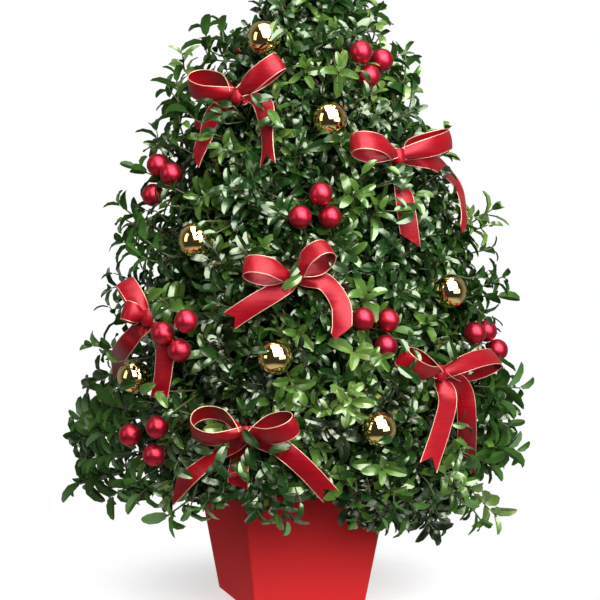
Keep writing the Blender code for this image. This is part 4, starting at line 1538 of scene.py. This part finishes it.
def leaf_triangles():
    """One leaf's triangles: the upper face, then the underside, which share the margin."""
    count = len(LEAF_ROWS)
    base, tip = 0, 1 + 3 * count
    left, upper, right = ([1 + 3 * r + k for r in range(count)] for k in range(3))
    under = [tip + 1 + r for r in range(count)]

    def half(edge, middle):
        found = [(base, edge[0], middle[0])]
        for r in range(count - 1):
            found += [(edge[r], edge[r + 1], middle[r + 1]), (edge[r], middle[r + 1], middle[r])]
        return found + [(edge[-1], tip, middle[-1])]

    def flip(triangles):
        return [face[::-1] for face in triangles]

    top = flip(half(left, upper)) + half(right, upper)
    return top, half(left, under) + flip(half(right, under))


def leaf_points(found):
    """Points of many leaves, an array of leaves by points by three."""
    base, ahead, face, long, wide, curl, fold, _ = (
        np.array([getattr(leaf, part) for leaf in found]).reshape(len(found), -1) for part in Leaf._fields)
    side = np.cross(ahead, face)

    def midrib(t):
        bend = curl * t
        centre = base + long * (ahead * np.sin(bend) / curl - face * (1 - np.cos(bend)) / curl)
        return centre, face * np.cos(bend) + ahead * np.sin(bend)

    made = [base]
    under = []
    for t in LEAF_ROWS:
        centre, normal = midrib(t)
        half = wide / 2 * math.sin(math.pi * t ** WIDEST) ** BLUNT
        raised = normal * fold * half
        made += [centre - side * half + raised, centre, centre + side * half + raised]
        under.append(centre - normal * LEAF_THICKNESS)
    made.append(midrib(1.0)[0])
    return np.stack(made + under, 1)


print("a leaf has", sum(map(len, leaf_triangles())), "triangles")

# %% [markdown]
# ## Leaves in the way
#
# Left out are leaves that would hide a bow or a ball, stand in the pot, hang below the clipped skirt or
# stand too far out of the model's box. They could be cut from the finished mesh, but a leaf is easier to
# test before there is one: its middle and its tip tell nearly all.

# %% Leave out the leaves that are in the way
LEAF_OFF_POT = 0.0015
LOWEST_SLACK = 0.006
LET_THROUGH = 0.03


def unblocked(found):
    """The leaves that hide no trimming and keep off the pot."""
    points = leaf_points(found)
    middle, tip = points[:, 3 * (len(LEAF_ROWS) // 2) + 2], points[:, 3 * len(LEAF_ROWS) + 1]
    way = blocked(middle) | blocked(tip)
    off_pot = np.array([clear_of_pot(m, LEAF_OFF_POT) and clear_of_pot(t, LEAF_OFF_POT)
                        for m, t in zip(middle, tip)])
    inside = ((points > LIMITS[0]) & (points < LIMITS[1])).all((1, 2))
    azimuths = [around(Vector(t))[0] for t in tip]
    lowest = np.array([SKIRT_LOW - LOWEST_SLACK + max(skirt_lift(a), SIDE_LIFT * thin_side(a))
                       for a in azimuths])
    hangs = points[..., 2].min(1) < lowest
    free = np.array([leaf.free for leaf in found])
    let_through = np.array([leaf_rng.random() < LET_THROUGH for _ in found])
    good = (~way | let_through) & off_pot & inside & (free | ~hangs)
    return [leaf for leaf, keep_it in zip(found, good) if keep_it]


leaves = {tone: unblocked(found) for tone, found in leaves.items()}
print(sum(map(len, leaves.values())), "leaves are kept")

# %% [markdown]
# ## Leaves over the trimmings
#
# A few leaves do lie across a ribbon or a ball, which ties the trimmings into the plant. Chance would put
# them in the wrong places, so each is placed by the pixels of its base and tip, on a thin shoot of its
# own that comes up from the nearest main twig.

# %% Single leaves over ribbons and balls
OVER_LEAVES = (
    ((233, 106), (201, 97)), ((236, 112), (210, 118)), ((226, 124), (205, 108)), ((214, 134), (195, 139)),
    ((252, 102), (273, 92)), ((262, 108), (252, 92)), ((284, 128), (264, 116)), ((256, 130), (270, 112)),
    ((216, 112), (196, 122)), ((408, 171), (388, 177)), ((392, 183), (413, 179)),
    ((394, 211), (414, 202)), ((414, 214), (399, 223)), ((362, 174), (374, 158)),
    ((348, 271), (328, 262)), ((282, 288), (302, 277)), ((303, 260), (290, 278)),
    ((449, 341), (458, 366)), ((400, 339), (412, 353)), ((398, 366), (413, 378)),
    ((420, 384), (408, 366)), ((452, 424), (471, 428)), ((455, 440), (475, 446)),
    ((454, 467), (467, 449)), ((477, 463), (460, 471)), ((243, 429), (261, 457)),
    ((291, 446), (264, 450)), ((262, 462), (284, 489)), ((206, 476), (222, 452)),
    ((230, 477), (212, 462)), ((248, 482), (236, 458)), ((256, 470), (244, 450)),
    ((194, 446), (215, 457)), ((226, 446), (214, 470)), ((161, 330), (150, 346)),
    ((156, 392), (169, 405)), ((118, 362), (103, 353)), ((148, 300), (157, 289)),
    ((232, 466), (250, 474)), ((168, 309), (152, 318)), ((160, 300), (148, 313)),
    ((392, 172), (406, 179)), ((388, 167), (402, 171)), ((410, 176), (397, 184)),
    ((404, 164), (393, 174)), ((412, 168), (400, 176)), ((393, 180), (405, 187)),
    ((416, 206), (402, 210)), ((216, 233), (201, 230)), ((206, 221), (193, 230)),
    ((213, 247), (202, 240)), ((286, 30), (271, 35)), ((277, 21), (267, 32)), ((366, 97), (370, 79)),
    ((174, 411), (162, 419)), ((371, 357), (380, 349)), ((250, 352), (263, 347)),
    ((392, 438), (384, 441)), ((320, 134), (326, 129)), ((402, 190), (414, 182)),
    ((396, 198), (408, 204)), ((214, 102), (192, 96)), ((268, 110), (281, 122)), ((201, 134), (214, 128)),
    ((370, 82), (366, 70)), ((414, 350), (424, 360)), ((408, 370), (417, 362)), ((222, 112), (211, 107)),
    ((120, 388), (131, 379)), ((140, 392), (151, 384)), ((174, 470), (188, 474)),
)
OVER_BASE_LIFT = 0.007
OVER_TIP_LIFT = 0.017
OVER_TWIG = 0.03
OVER_LONGEST = 0.018
OVER_WIDE = 0.42
OVER_FOLD = 0.4
OVER_TONES = ("mid", "mid", "olive", "cool")
over_shoots = []
for side in (FRONT, BACK):
    for base_pixel, tip_pixel in OVER_LEAVES:
        place = place_near(base_pixel, side)
        base, tip = at_pixel(base_pixel, OVER_BASE_LIFT, place), at_pixel(tip_pixel, OVER_TIP_LIFT, place)
        out = facing(base, place)
        joint = joint_tree.find(base - out * OVER_TWIG)[0]
        over_shoots.append(Shoot(smooth_line([Vector(joint), base], SHOOT_POINTS), "over"))
        ahead = (tip - base).normalized()
        face = out + Vector((0, 0, 0.3)) + out.cross(ahead) * leaf_rng.uniform(-0.7, 0.7)
        face = (face - ahead * face.dot(ahead)).normalized()
        long = min((tip - base).length, OVER_LONGEST) * leaf_rng.uniform(0.86, 1.0)
        tone = leaf_rng.choice(OVER_TONES)
        curl = leaf_rng.uniform(0.6, 1.2)
        leaves[tone].append(Leaf(base, ahead, face, long, long * OVER_WIDE, curl, OVER_FOLD, True))
shoots += over_shoots
print(len(over_shoots), "leaves lie over the trimmings")

# %% [markdown]
# ## Leaf finishes
#
# The upper face is dark and leathery with a soft gloss, and the underside paler and dull. Old leaves are
# deep green and the newest are yellow-green. The lighter olive tone is partly a random tone and partly a
# painted highlight for leaves that face the window, and every inner shoot takes the deep tone as painted
# shade for the crown's dark inside. The other colours are dealt out by shoot, one colour to a mesh, because
# each shoot is of one age. The gloss is tinted faintly green, and a leaf's wax makes it strong, which is why
# the crown shows so many bright specks.

# %% Build the leaves
# deep also paints the shade inside the crown, on every inner leaf; olive is partly a painted highlight
UPPER_COLOURS = {
    "deep": (6, 22, 3), "mid": (19, 51, 9), "cool": (26, 58, 21), "olive": (66, 98, 33),
    "fresh": (84, 112, 46),
}
PATCH_SHADES = (0.86, 0.88, 0.86)
MOST_LEAVES = 5800       # in one mesh
underside = finish("leaf_underside", linear(50, 84, 30), 0.45, Specular_IOR_Level=0.25)
mottled(underside, linear(42, 72, 26), 160)
top_faces, under_faces = (np.array(faces) for faces in leaf_triangles())

for tone, found in leaves.items():
    colour = UPPER_COLOURS[tone]
    upper = finish(f"leaf_{tone}", linear(*colour), 0.24,
                   Specular_IOR_Level=0.95, IOR=1.57, Specular_Tint=linear(234, 246, 214))
    mottled(upper, linear(*(value * shade for value, shade in zip(colour, PATCH_SHADES))), 120)
    relief(upper, 700, 0.00003, 2)
    for n, first in enumerate(range(0, len(found), MOST_LEAVES)):
        some = found[first:first + MOST_LEAVES]
        points = leaf_points(some)
        shift = np.arange(len(some))[:, None, None] * points.shape[1]
        faces = [(sides + shift).reshape(-1, 3) for sides in (top_faces, under_faces)]
        pile = Pile()
        pile.add(points, np.concatenate(faces), np.repeat([0, 1], [len(some_faces) for some_faces in faces]))
        keep(pile.piece(f"leaves_{tone}_{n + 1}", upper, underside, sharp=28), "leaves", *MASSES)

# %% [markdown]
# ## Twig finishes
#
# Young shoots are square and still green, and main twigs have turned to grey-brown bark. A tube with four
# sides gives the square shoot, and the two finishes differ mostly in how dull they are.

# %% Build the twigs
SHOOT_RADII = (0.0009, 0.00055)
SHOOT_SIDES = 4
shoot_pile = Pile()
for shoot in shoots:
    shoot_pile.add(*tube(shoot.path, np.linspace(*SHOOT_RADII, len(shoot.path)), SHOOT_SIDES))
twig_bark = mottled(finish("twig_bark", linear(72, 62, 40), 0.8), linear(92, 82, 58), 260, detail=4)
relief(twig_bark, 700, 0.0002, 4)
green_bark = mottled(finish("green_shoot", linear(54, 70, 30), 0.6), linear(74, 72, 40), 90)
relief(green_bark, 800, 0.0001)
keep(twig_pile.piece("twigs_main", twig_bark), "bark", *MASSES)
keep(shoot_pile.piece("twigs_fine", green_bark), "leaves", *MASSES)

# %% [markdown]
# ## The white studio
#
# The picture was taken on white. A plain white world would flood the plant from all round and wash out
# its depth. So the camera's own rays see full white, and all other rays see a dimmer world: darkest behind
# the camera, brighter behind the plant, and brightest below it, as a white table would be.

# %% World
scene = bpy.context.scene
scene.view_settings.view_transform = "Standard"
world = bpy.data.worlds.new("studio_white")
scene.world = world
world.use_nodes = True
sky = world.node_tree.nodes["Background"]
WHITE = (1, 1, 1, 1)


def smooth_range(tree, start, end, low, high):
    """A node that runs smoothly from a low value to a high one while its input runs from start to end."""
    made = tree.nodes.new("ShaderNodeMapRange")
    made.interpolation_type = "SMOOTHSTEP"
    for socket, value in (("From Min", start), ("From Max", end), ("To Min", low), ("To Max", high)):
        made.inputs[socket].default_value = value
    return made


def operation(tree, kind, name):
    made = tree.nodes.new(kind)
    made.operation = name
    return made


direction = world.node_tree.nodes.new("ShaderNodeTexCoord").outputs["Generated"]
toward = operation(world.node_tree, "ShaderNodeVectorMath", "DOT_PRODUCT")
toward.inputs[1].default_value = AHEAD
backdrop = smooth_range(world.node_tree, -0.30, 0.45, 0.04, 0.27)
heights = world.node_tree.nodes.new("ShaderNodeSeparateXYZ")
table = smooth_range(world.node_tree, -0.48, -0.80, 0.0, 0.55)
brighter = operation(world.node_tree, "ShaderNodeMath", "MAXIMUM")
seen = world.node_tree.nodes.new("ShaderNodeLightPath")
level = world.node_tree.nodes.new("ShaderNodeMix")
level.inputs["B"].default_value = 1.0
sky.inputs["Color"].default_value = WHITE
for output, socket in (
    (direction, toward.inputs[0]), (toward.outputs["Value"], backdrop.inputs["Value"]),
    (direction, heights.inputs["Vector"]), (heights.outputs["Z"], table.inputs["Value"]),
    (backdrop.outputs["Result"], brighter.inputs[0]), (table.outputs["Result"], brighter.inputs[1]),
    (seen.outputs["Is Camera Ray"], level.inputs["Factor"]), (brighter.outputs["Value"], level.inputs["A"]),
    (level.outputs["Result"], sky.inputs["Strength"]),
):
    world.node_tree.links.new(output, socket)
print("world of", len(world.node_tree.nodes), "nodes")

# %% [markdown]
# ## The table's shadow
#
# In the picture the table is as white as the wall, and only a soft shadow by the pot shows that it is
# there. A white plane would end in a visible edge, so the paper turns clear a little way from the pot, and
# it glows faintly, so that the shadow stays as light as in the picture.

# %% Floor
FLOOR_SIDE = 3.0
FLOOR_DROP = 0.0002
FADE_START = 0.07
FADE_END = 0.20
half_floor = FLOOR_SIDE / 2
corners = [(x * half_floor, y * half_floor, -FLOOR_DROP) for x, y in ((-1, -1), (1, -1), (1, 1), (-1, 1))]
floor_pile = Pile()
floor_pile.add(corners, [(0, 1, 2), (0, 2, 3)])
paper = finish("white_paper", linear(188, 188, 188), 0.9, Emission_Strength=0.56, Emission_Color=WHITE)
floor = floor_pile.piece("floor", paper)
spot_on_floor = paper.node_tree.nodes.new("ShaderNodeTexCoord").outputs["Object"]
distance = operation(paper.node_tree, "ShaderNodeVectorMath", "LENGTH")
fade = smooth_range(paper.node_tree, FADE_START, FADE_END, 0.0, 1.0)
clear = paper.node_tree.nodes.new("ShaderNodeBsdfTransparent")
blend = paper.node_tree.nodes.new("ShaderNodeMixShader")
for output, socket in (
    (spot_on_floor, distance.inputs[0]), (distance.outputs["Value"], fade.inputs["Value"]),
    (fade.outputs["Result"], blend.inputs["Fac"]), (shader_of(paper).outputs["BSDF"], blend.inputs[1]),
    (clear.outputs["BSDF"], blend.inputs[2]),
    (blend.outputs["Shader"], paper.node_tree.nodes["Material Output"].inputs["Surface"]),
):
    paper.node_tree.links.new(output, socket)

# %% [markdown]
# ## Soft lights
#
# The gold balls tell how it was lit, since they mirror the studio: a large soft window to the right of the
# camera and a narrow, weaker one to the left. A third from overhead opens the crown's top, and a low one
# reaches the pot under the leaves. Area lights give the soft edges that bare lamps wouldn't.

# %% Lights
AIM = Vector((0, 0, 0.26))


def softbox(name, turn, rise, distance, width, height, power):
    """A soft light, placed round and above the camera's own direction, aimed at the crown's middle."""
    heading = VIEW_TURN + math.radians(turn)
    lift = math.radians(rise)
    back = Vector((math.sin(heading) * math.cos(lift), -math.cos(heading) * math.cos(lift), math.sin(lift)))
    lamp = bpy.data.lights.new(name, "AREA")
    lamp.shape = "RECTANGLE"
    lamp.size, lamp.size_y, lamp.energy = width, height, power
    made = bpy.data.objects.new(name, lamp)
    turned_to_aim = back.to_track_quat("Z", "Y").to_matrix().to_4x4()
    made.matrix_world = Matrix.Translation(AIM + back * distance) @ turned_to_aim
    scene.collection.objects.link(made)
    print(name, power, "watts")


softbox("window_right", 24, 38, 1.3, 1.5, 1.35, 60)
softbox("window_left", -60, 18, 1.4, 0.5, 1.1, 3.5)
softbox("overhead", 0, 84, 1.4, 1.2, 1.2, 18)
softbox("low_fill", 46, 3, 1.3, 1.0, 0.5, 4)

# %% [markdown]
# ## Attach and hide
#
# Every piece rides on the one body, and the imported nodes that it stands for are hidden.

# %% Ride and replace
for piece, slot, replaced in PIECES:
    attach(piece, "root")
    if replaced:
        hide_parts(*replaced)
print(len(PIECES), "pieces")
